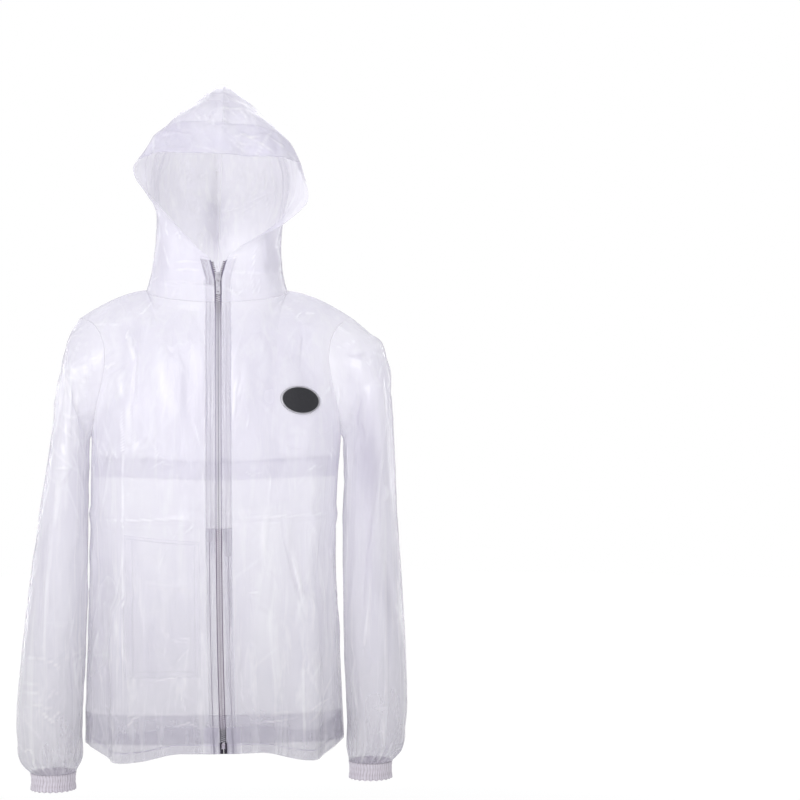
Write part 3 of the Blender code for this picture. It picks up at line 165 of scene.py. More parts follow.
# ---------------------------------------------------------------- creases
# The creases of each piece, as an eye 3 m in front of the coat or behind it sees them on the plane
# y = 0. A row holds how much lighter (or darker, below zero) the film is painted there, as the
# crease's painted highlight (or painted shade) and partly the whitening of creased film, how far
# it stands out and half its width in millimetres, and then its course, x and z in millimetres.
CREASES = (
    ("front", (
        (-0.55, -0.9, 3.0, -117, -51, -122, -123, -129, -194),
        (-0.35, -0.6, 2.8, -122, -92, -122, -158, -128, -188, -124, -211),
        (0.45, 0.9, 6.0, -135, -57, -129, -84, -123, -110),
        (0.8, 0.4, 2.8, -126, -32, -112, -34, -96, -15),
        (-0.4, -0.4, 2.8, -116, -44, -112, -92),
        (0.8, 0.4, 2.8, -132, -58, -136, -69, -132, -76),
        (-0.45, -0.8, 3.0, -138, -74, -165, -100, -180, -117),
        (0.85, 0.6, 3.6, -174, -117, -162, -112, -149, -107),
        (0.6, 0.4, 2.8, -178, -123, -165, -118, -156, -112),
        (-0.35, -0.5, 2.8, -190, -68, -190, -92, -182, -118),
        (0.55, 0.4, 2.8, -176, -60, -177, -81, -172, -104),
        (0.35, 0.5, 4.0, -195, -54, -172, -51, -134, -52),
        (-0.35, -0.6, 3.4, -182, -123, -165, -128, -147, -117, -130, -100),
        (0.6, 0.7, 6.0, -138, -117, -146, -134, -141, -165),
        (0.55, 0.5, 2.8, -142, -166, -143, -195, -142, -285),
        (0.35, 0.5, 7.0, -134, -166, -134, -210, -134, -243),
        (0.3, 0.4, 2.8, -38, -183, -30, -220, -18, -260),
        (0.3, 0.4, 2.8, -24, -264, -21, -292, -14, -320),
        (0.35, 0.4, 2.8, -180, -220, -176, -237, -168, -254),
        (0.5, 0.4, 2.8, -172, -225, -166, -243, -168, -260),
        (0.45, 0.4, 2.8, -162, -231, -165, -248, -156, -261),
        (0.4, 0.4, 2.8, -150, -226, -154, -243, -148, -258),
        (0.5, 0.8, 2.8, -188, -344, -129, -345, -69, -344, -16, -344),
        (-0.25, -0.5, 3.0, -188, -350, -129, -351, -69, -350, -16, -350),
        (-0.4, -0.5, 3.4, -148, -188, -148, -345, -148, -525, -147, -711),
        (0.6, 0.6, 2.8, -142, -188, -142, -345, -142, -525, -141, -711),
        (0.35, 0.5, 2.8, -57, -356, -84, -405, -104, -462),
        (0.4, 0.4, 2.8, -36, -350, -40, -357, -51, -367),
        (0.18, 0.8, 8.0, -122, -435, -76, -441, -30, -442),
        (0.55, 0.4, 2.8, -76, -528, -87, -502),
        (0.45, 0.4, 2.8, -76, -528, -70, -502),
        (0.5, 0.4, 2.8, -76, -528, -34, -522),
        (0.45, 0.4, 2.8, -76, -528, -84, -561),
        (0.4, 0.4, 2.8, -68, -572, -57, -554, -40, -538),
        (0.4, 0.4, 2.8, -76, -528, -57, -530, -39, -531),
        (0.35, 0.5, 2.8, -128, -596, -79, -585, -16, -572),
        (0.4, 0.4, 2.8, -95, -489, -87, -478),
        (0.35, 0.4, 2.8, -57, -609, -52, -622, -49, -637),
        (0.6, 0.4, 2.8, -141, -639, -126, -642, -111, -640),
        (0.5, 0.5, 2.8, -84, -663, -51, -654, -44, -652, -27, -662, -8, -657),
        (0.5, 0.4, 2.8, -141, -663, -125, -642, -114, -645),
        (0.3, 0.4, 2.8, -177, -612, -159, -636, -144, -658),
        (0.22, 0.9, 6.0, -170, -446, -168, -518, -170, -588),
        (0.3, 0.4, 2.8, -188, -440, -164, -440),
        (-0.15, -0.8, 12.0, -99, -465, -105, -555, -99, -638),
        (0.12, 0.8, 14.0, -54, -465, -48, -540, -54, -615),
        (0.45, 0.7, 2.8, 20, -342, 123, -340, 176, -335),
        (-0.22, -0.5, 3.0, 20, -348, 123, -346, 176, -341),
        (0.25, 1.2, 8.0, 80, -315, 71, -356, 66, -405),
        (0.35, 0.5, 2.8, 80, -274, 78, -300, 76, -330),
        (-0.25, -0.5, 2.8, 97, -242, 92, -286, 89, -344),
        (-0.45, -1.4, 3.6, 96, -315, 99, -369, 110, -412, 126, -478, 118, -517),
        (0.4, 1.2, 7.0, 111, -375, 117, -423, 126, -465, 117, -516),
        (-0.4, -0.8, 2.8, 120, -522, 134, -574, 135, -642, 136, -710),
        (0.45, 0.6, 2.8, 124, -540, 129, -585, 130, -645, 132, -705),
        (-0.4, -0.8, 2.8, 138, -342, 144, -397, 150, -438, 153, -484, 156, -532, 156, -598,
         150, -632),
        (0.25, 0.8, 5.0, 144, -360, 153, -405, 160, -465, 164, -540, 162, -600),
        (0.35, 0.4, 2.8, 30, -462, 48, -456, 69, -457),
        (0.3, 0.4, 2.8, 33, -592, 36, -610, 39, -628),
        (0.5, 0.5, 2.8, 41, -657, 66, -653, 94, -651, 120, -646, 131, -653),
        (0.45, 0.4, 2.8, 58, -639, 62, -645, 64, -650),
        (0.25, 0.8, 5.0, 69, -644, 96, -639, 118, -639),
        (0.4, 0.5, 2.8, 136, -639, 153, -626, 175, -615),
        (-0.12, -0.9, 14.0, 44, -405, 40, -525, 45, -630),
        (0.14, 0.9, 13.0, 84, -465, 84, -540, 90, -615),
        (-0.5, -0.8, 2.8, 121, -44, 129, -72, 124, -118),
        (0.75, 0.4, 2.8, 129, -31, 138, -33, 148, -34),
        (0.75, 0.4, 2.8, 129, -31, 123, -34, 119, -40),
        (0.45, 0.4, 2.8, 100, -20, 108, -26, 116, -31),
        (0.45, 0.4, 2.8, 112, -14, 130, -16),
        (0.4, 0.8, 4.6, 32, -123, 26, -154, 23, -198),
        (0.35, 0.5, 3.0, 47, -184, 45, -198, 43, -212),
        (0.12, 0.4, 9.0, 102, -213, 120, -210, 138, -216),
        (-0.35, -0.6, 2.8, 99, -228, 112, -237, 130, -237),
        (-0.35, -0.6, 2.8, 142, -208, 158, -216, 177, -205),
        (-0.3, -0.5, 3.0, 142, -220, 138, -252, 135, -285),
        (0.5, 0.4, 2.8, 131, -274, 146, -266, 160, -264),
        (0.45, 0.4, 2.8, 171, -237, 176, -243, 178, -252),
        (0.4, 0.4, 2.8, 165, -240, 171, -248, 172, -258),
        (-0.3, -0.5, 2.8, 155, -292, 148, -320, 142, -344),
        (0.18, 0.9, 16.0, 58, -60, 69, -105, 63, -150),
        (0.22, 0.9, 18.0, -84, -60, -87, -120, -76, -180),
        (-0.12, -0.9, 14.0, -39, -90, -45, -165, -39, -225),
        (-0.1, -0.9, 14.0, 90, -75, 81, -135, 84, -195),
        (0.3, 0.4, 2.8, -105, -270, -84, -258, -66, -264),
        (0.25, 0.4, 2.8, -99, -225, -90, -243, -93, -267),
        (0.25, 0.4, 2.8, 36, -270, 51, -279, 69, -273),
    )),
    ("sleeve_right", (
        (0.56, 0.5, 3.6, -216, -68, -207, -60, -199, -54),
        (0.49, 0.5, 3.6, -223, -116, -218, -104, -210, -86, -201, -68),
        (0.6, 0.4, 3.6, -228, -117, -228, -142, -228, -166),
        (0.52, 0.4, 3.6, -228, -117, -224, -142, -220, -166),
        (0.45, 0.4, 3.6, -228, -117, -237, -126),
        (-0.22, -1.0, 3.6, -216, -122, -214, -158, -216, -195, -218, -243),
        (0.4, 0.8, 4.0, -210, -128, -208, -165, -210, -210, -212, -248),
        (0.41, 0.5, 3.6, -207, -152, -200, -135, -193, -118, -186, -138),
        (-0.34, -0.6, 3.6, -220, -118, -197, -104, -184, -108),
        (0.38, 0.4, 3.6, -194, -108, -198, -123),
        (0.34, 0.4, 3.6, -194, -108, -182, -99),
        (0.64, 0.6, 3.6, -245, -266, -232, -266, -218, -266),
        (0.4, 0.5, 5.0, -234, -225, -231, -238, -226, -250),
        (0.34, 0.4, 3.6, -245, -208, -246, -236, -247, -262),
        (0.3, 0.6, 3.6, -230, -128, -228, -180, -225, -232, -222, -264),
        (0.35, 0.8, 6.0, -238, -278, -240, -315, -244, -360),
        (-0.3, -1.0, 6.0, -255, -315, -260, -405, -264, -495, -267, -548),
        (0.28, 1.0, 5.0, -246, -360, -255, -450, -258, -540),
        (0.3, 0.4, 3.6, -272, -368, -264, -366, -258, -362),
        (0.38, 0.5, 3.6, -294, -552, -270, -549, -249, -556, -234, -567),
        (0.26, 0.4, 3.6, -294, -585, -272, -590),
        (0.3, 0.4, 3.6, -294, -600, -273, -603, -258, -600),
        (0.3, 0.4, 3.6, -294, -624, -270, -621, -249, -627, -234, -630),
        (0.52, 0.4, 3.6, -264, -630, -255, -639, -249, -645, -242, -648),
        (0.45, 0.4, 3.6, -249, -645, -243, -636, -234, -630),
        (0.41, 0.4, 3.6, -237, -663, -231, -660),
        (0.22, 0.5, 3.6, -256, -615, -246, -600, -237, -606),
        (-0.3, -0.9, 4.0, -225, -465, -222, -540, -216, -600, -208, -639),
        (0.2, 0.9, 6.0, -210, -525, -207, -555, -213, -600),
        (0.22, 0.6, 3.6, -198, -548, -210, -550, -216, -564),
        (0.26, 0.4, 3.6, -210, -636, -204, -624, -198, -600),
        (0.38, 0.4, 3.6, -291, -693, -282, -687, -273, -699),
        (0.38, 0.4, 3.6, -273, -699, -279, -714, -267, -723),
        (0.34, 0.4, 3.6, -279, -711, -264, -717, -252, -711),
        (0.26, 0.4, 3.6, -288, -681, -279, -693),
        (0.15, 1.2, 9.0, -196, -270, -201, -375, -204, -465),
        (-0.15, -1.0, 9.0, -216, -300, -225, -405, -231, -495),
    )),
    ("sleeve_left", (
        (0.35, 0.7, 5.0, 158, -34, 178, -40, 196, -48),
        (0.34, 0.5, 3.6, 148, -36, 172, -48, 196, -63, 213, -68),
        (0.45, 0.5, 3.6, 166, -74, 182, -82, 185, -92, 184, -118, 182, -166, 177, -202),
        (-0.3, -0.6, 3.6, 188, -93, 188, -120, 187, -166, 182, -202),
        (-0.34, -0.6, 3.6, 161, -68, 184, -81, 196, -84),
        (0.52, 0.5, 3.6, 196, -82, 204, -78, 211, -74),
        (-0.4, -0.8, 5.5, 189, -93, 210, -99, 231, -93),
        (0.38, 0.4, 3.6, 232, -92, 243, -96, 254, -100),
        (0.34, 0.4, 3.6, 254, -104, 249, -120, 246, -134),
        (0.45, 0.4, 3.6, 222, -105, 230, -111, 235, -100),
        (-0.34, -0.7, 3.6, 213, -117, 203, -130, 188, -138),
        (0.34, 0.8, 3.6, 211, -136, 207, -147, 200, -168, 194, -192),
        (-0.26, -0.8, 3.6, 214, -134, 219, -158, 211, -184, 203, -243, 203, -285),
        (0.41, 0.4, 3.6, 194, -182, 201, -189, 208, -184),
        (0.26, 0.4, 3.6, 232, -142, 254, -144),
        (0.26, 0.4, 3.6, 230, -216, 249, -216),
        (0.38, 0.8, 3.6, 261, -172, 254, -214, 246, -285, 240, -345),
        (-0.26, -0.9, 3.6, 255, -225, 246, -278, 234, -345, 222, -435, 216, -525, 212, -570),
        (0.35, 0.9, 5.0, 234, -405, 228, -480, 219, -562),
        (0.45, 0.4, 3.6, 252, -252, 248, -270, 248, -274),
        (0.3, 0.8, 6.0, 250, -285, 255, -308, 249, -327),
        (-0.25, -0.9, 6.0, 204, -285, 201, -405, 192, -495, 188, -555),
        (0.21, 0.8, 3.6, 194, -285, 195, -315, 194, -405, 188, -495),
        (0.26, 0.6, 3.6, 194, -303, 195, -312),
        (0.22, 0.9, 4.0, 198, -555, 204, -600, 213, -660),
        (-0.22, -0.7, 3.6, 207, -561, 212, -600, 210, -645),
        (0.34, 0.5, 3.6, 206, -549, 204, -585, 212, -652),
        (0.34, 0.5, 3.6, 234, -633, 246, -636, 261, -634),
        (0.3, 0.4, 3.6, 254, -585, 252, -615, 255, -633),
        (0.26, 0.4, 3.6, 240, -669, 252, -672),
        (0.26, 0.4, 3.6, 274, -669, 264, -687, 258, -699),
        (0.3, 0.4, 3.6, 267, -465, 274, -495, 270, -510),
        (0.3, 0.4, 3.6, 212, -699, 219, -711, 216, -723),
        (0.26, 0.4, 3.6, 219, -708, 228, -717),
        (0.2, 0.9, 5.0, 267, -405, 274, -495, 279, -570),
        (-0.18, -0.9, 9.0, 258, -405, 260, -525, 258, -615),
    )),
    ("hood", (
        (0.8, 0.6, 3.0, -34, 268, -26, 258, -30, 264),
        (-0.7, -1.6, 2.8, -8, 264, -3, 270, 0, 273),
        (0.6, 0.6, 2.8, -18, 267, -15, 256, -16, 249),
        (0.6, 0.6, 2.8, -8, 260, -4, 252, -6, 246),
        (-0.45, -0.8, 2.8, -12, 267, -10, 256),
        (-0.4, -0.8, 2.8, 4, 266, 4, 254),
        (0.6, 0.6, 2.8, 9, 262, 14, 254, 12, 248),
        (0.75, 0.8, 4.0, 2, 274, 21, 274, 44, 272),
        (0.6, 0.6, 2.8, 20, 272, 30, 264, 34, 255),
        (0.55, 0.6, 2.8, 33, 272, 40, 264, 45, 255),
        (0.5, 0.5, 2.8, 46, 268, 54, 261, 60, 252),
        (0.45, 0.5, 2.8, 63, 264, 69, 256),
        (-0.35, -0.7, 2.8, 26, 270, 34, 258),
        (-0.35, -0.7, 2.8, 40, 270, 50, 258),
        (0.25, 0.8, 5.0, -30, 280, -15, 286, -6, 296),
        (-0.3, -0.6, 2.8, -2, 292, 0, 280, -4, 273),
        (0.55, 0.4, 2.8, 4, 302, 14, 298, 22, 296),
        (-0.3, -0.5, 2.8, -90, 238, -66, 239, -39, 236, -32, 234),
        (-0.3, -0.5, 2.8, -28, 240, -15, 249, 21, 250, 58, 249, 75, 254),
        (-0.3, -0.5, 2.8, 51, 237, 69, 236, 86, 240, 96, 244),
        (-0.3, -0.5, 2.8, 6, 249, 12, 240, 18, 230),
        (0.5, 0.4, 2.8, 15, 231, 30, 218, 45, 206),
        (-0.18, -0.4, 2.8, -28, 240, -38, 224, -42, 212),
        (0.7, 0.5, 2.8, 24, 230, 33, 232, 45, 237),
        (0.85, 0.6, 3.8, 40, 231, 54, 230, 66, 230),
        (0.55, 0.4, 2.8, 26, 224, 42, 220, 54, 220),
        (0.6, 0.5, 3.4, 78, 230, 93, 219, 102, 210),
        (0.35, 0.5, 3.0, 102, 210, 114, 198, 120, 190),
        (0.45, 0.4, 2.8, -96, 218, -92, 226, -88, 231),
        (0.22, 0.4, 2.8, -84, 231, -69, 234),
        (0.55, 0.8, 3.4, -116, 172, -102, 158, -89, 146, -63, 120, -52, 99, -44, 81),
        (-0.4, -0.6, 2.8, -120, 176, -106, 159, -93, 141, -68, 117, -56, 96, -46, 78),
        (0.7, 0.4, 2.8, 123, 177, 130, 159, 134, 147),
        (0.5, 0.4, 2.8, 118, 180, 126, 165, 130, 150),
        (0.45, 0.4, 2.8, 134, 132, 114, 118, 94, 105, 74, 92),
        (0.4, 0.4, 2.8, -117, 195, -120, 183, -118, 172),
        (0.55, 0.5, 2.8, -64, 82, -57, 88, -46, 90),
        (0.5, 0.5, 2.8, -60, 90, -56, 82, -57, 74),
        (0.35, 0.5, 3.6, -69, 42, -46, 44, -24, 42),
        (0.3, 0.5, 3.6, -69, 30, -46, 32, -21, 30),
        (0.45, 0.5, 2.8, -76, 107, -78, 92, -72, 78),
        (0.45, 0.5, 2.8, -82, 70, -76, 48, -70, 26),
        (0.4, 0.5, 2.8, -96, 123, -90, 99, -86, 74),
        (0.4, 0.5, 2.8, -106, 6, -96, 16, -87, 22),
        (-0.3, -0.6, 2.8, -87, 81, -84, 57, -88, 33),
        (0.5, 0.5, 2.8, 69, 88, 56, 57, 52, 18, 56, -4, 63, 22),
        (0.45, 0.5, 2.8, 68, 82, 74, 60, 80, 36),
        (0.4, 0.5, 2.8, 64, 22, 63, -10),
        (0.4, 0.5, 4.0, 27, 0, 33, -3, 40, 0),
        (-0.3, -0.6, 2.8, 45, 42, 42, 15, 46, -9),
    )),
    ("lining", (
        (0.66, 0.6, 2.8, -47, 195, -42, 172, -38, 162, -33, 156),
        (0.72, 0.6, 2.8, 77, 193, 82, 170, 88, 146, 83, 126, 73, 99),
        (0.54, 0.5, 3.0, -27, 177, -21, 170, -16, 165),
        (0.48, 0.5, 3.0, -16, 178, -22, 171, -24, 165),
        (0.36, 0.8, 10.0, -30, 142, -34, 126, -27, 110),
        (0.36, 0.5, 4.0, 54, 188, 52, 165, 58, 141),
        (0.36, 0.5, 4.0, 69, 190, 68, 168, 72, 147),
        (0.36, 0.5, 3.0, 33, 126, 60, 140, 86, 151),
        (0.34, 0.5, 3.0, 24, 112, 54, 129, 82, 147),
        (0.42, 0.8, 5.0, -87, 210, -90, 188, -93, 166),
        (0.36, 0.5, 3.0, -72, 207, -75, 180, -84, 156),
        (0.3, 0.5, 2.8, -60, 202, -58, 180, -63, 150, -60, 128),
        (-0.36, -0.6, 3.0, -54, 198, -50, 171, -42, 150),
        (-0.26, -0.6, 8.0, 99, 172, 111, 150, 102, 126),
        (0.24, 0.5, 3.0, 100, 156, 104, 135),
        (0.3, 0.5, 3.0, 3, 195, 6, 180, 4, 168),
        (0.26, 0.5, 3.0, 33, 195, 36, 180, 39, 165),
        (0.24, 0.5, 3.0, -6, 150, 0, 135, -3, 117),
        (0.24, 0.5, 3.0, 12, 141, 18, 126, 15, 111),
    )),
    # Wide rows that stand out by nothing: painted light (painted shade below zero) over whole
    # stretches of the film
    ("sleeve_left", (
        (-0.5, 0.0, 34.0, 204, -123, 225, -210, 234, -345, 240, -465, 243, -600),
    )),
    ("hood", (
        (-0.4, 0.0, 24.0, 69, 112, 78, 60, 81, 0),
    )),
    ("sleeve_left", (
        (-0.35, 0.0, 40.0, 194, -82, 219, -195, 234, -345),
    )),
    ("sleeve_right", (
        (0.3, 0.0, 34.0, -216, -93, -225, -195, -240, -315),
    )),
    ("lining", (
        (-0.36, 0.0, 34.0, -6, 158, -4, 112, -3, 42),
    )),
    ("front", (
        (0.22, 0.0, 36.0, 69, -285, 75, -405, 69, -600),
        (0.2, 0.0, 40.0, 104, -82, 99, -165, 96, -225),
    )),
    ("hood", (
        (0.22, 0.0, 34.0, -54, 210, -2, 258, 58, 210),
        (0.5, 0.0, 26.0, 93, 210, 108, 172, 102, 135),
    )),
    ("back", (
        (0.45, 0.6, 2.8, 136, -278, 136, -424, 138, -546, 139, -745),
        (-0.3, -0.5, 3.0, 130, -278, 130, -424, 132, -546, 133, -745),
        (0.4, 0.6, 2.8, -3, -272, -3, -425),
        (-0.25, -0.5, 3.0, -9, -272, -9, -425),
        (0.45, 0.6, 2.8, -122, -286, -133, -378, -142, -485, -148, -607, -148, -745),
        (-0.3, -0.5, 3.0, -116, -286, -127, -378, -136, -485, -142, -607, -142, -745),
        (0.45, 0.7, 2.8, 171, -352, 57, -352, -66, -352, -181, -352),
        (-0.22, -0.5, 3.0, 171, -358, 57, -358, -66, -358, -181, -358),
        (-0.45, -1.4, 3.6, -122, -350, -130, -386, -135, -416),
        (0.4, 1.0, 5.0, -115, -350, -122, -386, -127, -416),
        (0.4, 0.5, 2.8, 171, -546, 57, -545, -66, -546, -181, -545),
        (0.35, 0.5, 2.8, 57, -393, 38, -454, 29, -523),
        (0.35, 0.5, 2.8, 87, -638, 26, -626, -50, -635),
        (0.5, 0.4, 2.8, -20, -592, -5, -569),
        (0.5, 0.4, 2.8, -20, -592, -47, -583),
        (0.45, 0.4, 2.8, -20, -592, -29, -620),
        (0.4, 0.4, 2.8, -20, -592, 5, -607),
        (0.2, 1.0, 14.0, 80, -424, 87, -546, 75, -684),
        (-0.14, -1.0, 14.0, 34, -424, 26, -546, 35, -684),
        (0.2, 1.0, 14.0, -66, -439, -75, -546, -66, -684),
        (-0.14, -1.0, 14.0, -96, -424, -103, -546, -99, -684),
        (0.45, 0.4, 2.8, 118, -692, 80, -684, 57, -699, 11, -693),
        (0.4, 0.4, 2.8, -28, -699, -66, -690, -109, -699),
    )),
    ("flap", (
        (0.45, 0.6, 2.8, 136, -57, 136, -148, 136, -271),
        (0.4, 0.6, 2.8, -3, -35, -3, -148, -3, -268),
        (0.45, 0.6, 2.8, -127, -57, -124, -148, -118, -268),
        (0.4, 0.6, 2.8, 164, -194, 57, -197, -66, -196, -176, -194),
        (0.5, 0.4, 2.8, 80, -90, 63, -133, 69, -176),
        (0.5, 0.4, 2.8, 69, -133, 41, -148, 20, -142),
        (0.5, 0.4, 2.8, -57, -103, -75, -142, -66, -182),
        (0.45, 0.4, 2.8, -75, -142, -103, -133),
        (0.22, 1.0, 12.0, 87, -57, 99, -148, 90, -240),
        (-0.14, -1.0, 12.0, 41, -57, 47, -148, 38, -240),
        (0.22, 1.0, 12.0, -50, -57, -60, -148, -47, -240),
        (-0.14, -1.0, 12.0, -96, -72, -93, -148, -99, -240),
    )),
    ("hood_back", (
        (0.6, 0.6, 2.8, 11, 95, 5, 84, 6, 72),
        (0.6, 0.6, 2.8, -5, 95, -8, 81, -6, 69),
        (0.6, 0.6, 2.8, -20, 95, -23, 83, -26, 70),
        (-0.6, -1.2, 2.8, 2, 98, 0, 86),
        (-0.6, -1.2, 2.8, -14, 99, -14, 87),
        (-0.5, -1.0, 2.8, -26, 96, -31, 86),
        (0.4, 0.6, 2.8, 57, 219, 75, 173, 80, 119),
        (0.4, 0.6, 2.8, -66, 219, -89, 173, -93, 119),
        (0.35, 0.5, 2.8, 49, 142, 11, 130, -35, 139),
        (0.2, 1.0, 12.0, 34, 234, 47, 173, 38, 112),
        (-0.15, -1.0, 10.0, -5, 219, -6, 165, -3, 115),
        (0.2, 1.0, 12.0, -47, 234, -57, 173, -47, 112),
    )),
)
SEEN_FROM = {
    "front": ("front", "sleeve_left", "sleeve_right", "hood", "lining"),
    "back": ("back", "flap", "hood_back"),
}
WIDE_CREASE, FLANK = 4.2, 2.6        # in millimetres, and in half widths
CRUMPLE_EDGE = 0.0038                # how far an edge's tone reaches, more than the grids' steps
STREW_FIELD = (np.array([-0.27, 0.0]), np.array([0.27, 0.76]))
SMALL_CREASES, LARGE_CREASES = 170, 34
SEED = {"front": 11, "back": 31, "sleeve_left": 51, "sleeve_right": 71, "hood": 91}
EYE = {"front": (0.0, -3.0, -0.10), "back": (0.0, 3.0, -0.10)}


# ---------------------------------------------------------------- tables and curves
def columns(table):
    """A table's columns as arrays, by name; its first column holds the rows' names."""
    names, *rows = table
    return {name: np.array([row[i] for row in rows]) for i, name in enumerate(names)}


def smooth(knots, values, at):
    """Cubic Hermite curve through (knots, values), with each slope taken from its neighbours."""
    knots, values, at = np.asarray(knots, float), np.asarray(values, float), np.asarray(at, float)
    slope = np.gradient(values, knots, axis=0)
    i = np.clip(np.searchsorted(knots, at, side="right") - 1, 0, len(knots) - 2)
    step = knots[i + 1] - knots[i]
    t = (at - knots[i]) / step
    more = (1,) * (values.ndim - 1)
    t, step = t.reshape(t.shape + more), step.reshape(step.shape + more)
    start = (1 + 2 * t) * (1 - t) ** 2 * values[i] + t * (1 - t) ** 2 * step * slope[i]
    end = t * t * (3 - 2 * t) * values[i + 1] + t * t * (t - 1) * step * slope[i + 1]
    return start + end


def hump(x):
    """1 at 0, falling as a squared cosine to 0 at 1 on both sides."""
    return np.cos(np.pi / 2 * np.clip(x, -1, 1)) ** 2


def ramp(x, low, high):
    """0 below low, 1 above high, and smooth in between."""
    t = np.clip((x - low) / (high - low), 0, 1)
    return t * t * (3 - 2 * t)


def unit(vectors):
    return vectors / np.maximum(np.linalg.norm(vectors, axis=-1, keepdims=True), 1e-12)


def places(low, high, count, exact=()):
    """Even places from low to high, with some exact ones put in for their nearest neighbours."""
    even = np.linspace(low, high, count)
    exact = np.array([place for place in exact if low < place < high])
    if not len(exact):
        return even
    far = np.abs(even[:, None] - exact).min(axis=1) > (high - low) / count * 0.5
    far[[0, -1]] = True
    return np.unique(np.round(np.concatenate([even[far], exact]), 9))


def zip_centre(z):
    """The zip hangs straight and bends a little to the left towards the hem."""
    (top_x, top_z), (hem_x, hem_z) = ZIP_TOP, ZIP_HEM
    return top_x + (hem_x - top_x) * np.clip((top_z - z) / (top_z - hem_z), 0, None) ** ZIP_BEND


def opening(z):
    """How far each side of the zip has moved away from its centre, above the slider."""
    return OPENING_SLOPE * np.maximum(0.0, z - OPENING_Z)


# ---------------------------------------------------------------- forms
def top_edge(face, across):
    """Neck curve up to NECK_SHARE, a quarter of an oval, then the shoulder seam to its tip."""
    turn = np.clip(across / NECK_SHARE, 0, 1) * np.pi / 2
    out = np.clip((across - NECK_SHARE) / (1 - NECK_SHARE), 0, 1)
    middle_z = columns(BODY)[face + "_z"][-1]
    x = NECK_HALF_WIDTH * np.sin(turn) + (SHOULDER_TIP_X - NECK_HALF_WIDTH) * out
    z = middle_z * np.cos(turn) + SHOULDER_TIP_Z * out**SHOULDER_ROUND
    return x, NECK_DEPTH * np.cos(turn), z


def section(side, face, across, rise):
    """One quarter's section curves, |x/half width|^square + |y/depth|^square = 1, from the
    middle (across 0) to the side seam or, above the underarm, to the oval of the armhole."""
    body = columns(BODY)
    half, depth, square, middle_z, side_z, level, corner = (
        smooth(body["rise"], body[name], rise)
        for name in (side, face, "square", face + "_z", "side_z", "level", "corner")
    )
    arm = np.clip((rise - UNDERARM) / (1 - UNDERARM), 0, 1) * np.pi
    edge_y = ARMHOLE_REACH[face] * np.sin(arm)
    armhole_z = UNDERARM_Z + (SHOULDER_TIP_Z - UNDERARM_Z) * (1 - np.cos(arm)) / 2
    edge_z = np.where(rise > UNDERARM, armhole_z, side_z)
    edge_x = half * (1 - np.clip(edge_y / depth, 0, 1) ** square) ** (1 / square)
    angle = across * np.arctan2(edge_x, edge_y)
    reach = (np.sin(angle) / half) ** square + (np.cos(angle) / depth) ** square
    reach = reach ** (-1 / square)
    z = middle_z + (edge_z - middle_z) * across**level
    if face == "front":
        z = z - corner * hump((across - CORNER[0]) / CORNER[1])
    return reach * np.sin(angle), reach * np.cos(angle), z


def body_points(side, face, across, rise):
    """A quarter of the body: across 0, the middle, to 1, by rise 0, the hem, to 1, the neck.
    The section curves are drawn in, near the top, to the neck curve and the shoulder seam."""
    across, rise = np.broadcast_arrays(*np.meshgrid(across, rise))
    x, y, z = section(side, face, across, rise)
    top_x, top_y, top_z = section(side, face, across, np.ones_like(rise))
    edge_x, edge_y, edge_z = top_edge(face, across)
    arm = np.clip((rise - UNDERARM) / (1 - UNDERARM), 0, 1)
    x = x + arm**DRAWN_IN * (edge_x - top_x)
    y = y + arm**DRAWN_IN * (edge_y - top_y)
    z = z + np.sin(arm * np.pi / 2) ** 2 * (edge_z - top_z)
    if face == "front":
        centred = (1 - across) ** 2
        x = SIGN[side] * (x + FILM_TO_ZIP_CENTRE * centred) + zip_centre(z) * centred
        y = -y - SEAM_GAP / 2
    else:
        x, y = SIGN[side] * x, y + SEAM_GAP / 2
    return folded(face, np.stack([x, y, z], axis=-1))


def folded(face, points):
    """Points moved out from the body's axis by FOLDS: each a squared cosine in the distance
    from its line, fading out at both ends."""
    table = columns(FOLDS)
    flat = points[..., [0, 2]]
    stand = np.zeros(points.shape[:-1])
    for i in np.flatnonzero(table["piece"] == face):
        start = np.array([table["x1"][i], table["z1"][i]], float)
        along = np.array([table["x2"][i], table["z2"][i]], float) - start
        share = np.clip((flat - start) @ along / (along @ along), 0, 1)[..., None]
        near = np.linalg.norm(flat - start - share * along, axis=-1)
        stand += float(table["stand"][i]) * hump(near / float(table["half_width"][i]))
    return points + unit(points * (1, 1, 0)) * stand[..., None]


def back_points(across, rise):
    """The whole back: across 1, the left side seam, to -1, the right one."""
    across = np.asarray(across)
    left = body_points("left", "back", across[across >= 0], rise)
    right = body_points("right", "back", -across[across < 0], rise)
    return np.concatenate([left, right], axis=1)


def armhole(side, rows):
    """The armhole loop from the shoulder tip down the front and up the back, without its end."""
    rise = np.linspace(1, UNDERARM, rows + 1)
    front = body_points(side, "front", [1.0], rise)[:, 0]
    back = body_points(side, "back", [1.0], rise[::-1])[:, 0]
    front[[0, -1], 1] = 0
    return np.concatenate([front, back[1:-1]])


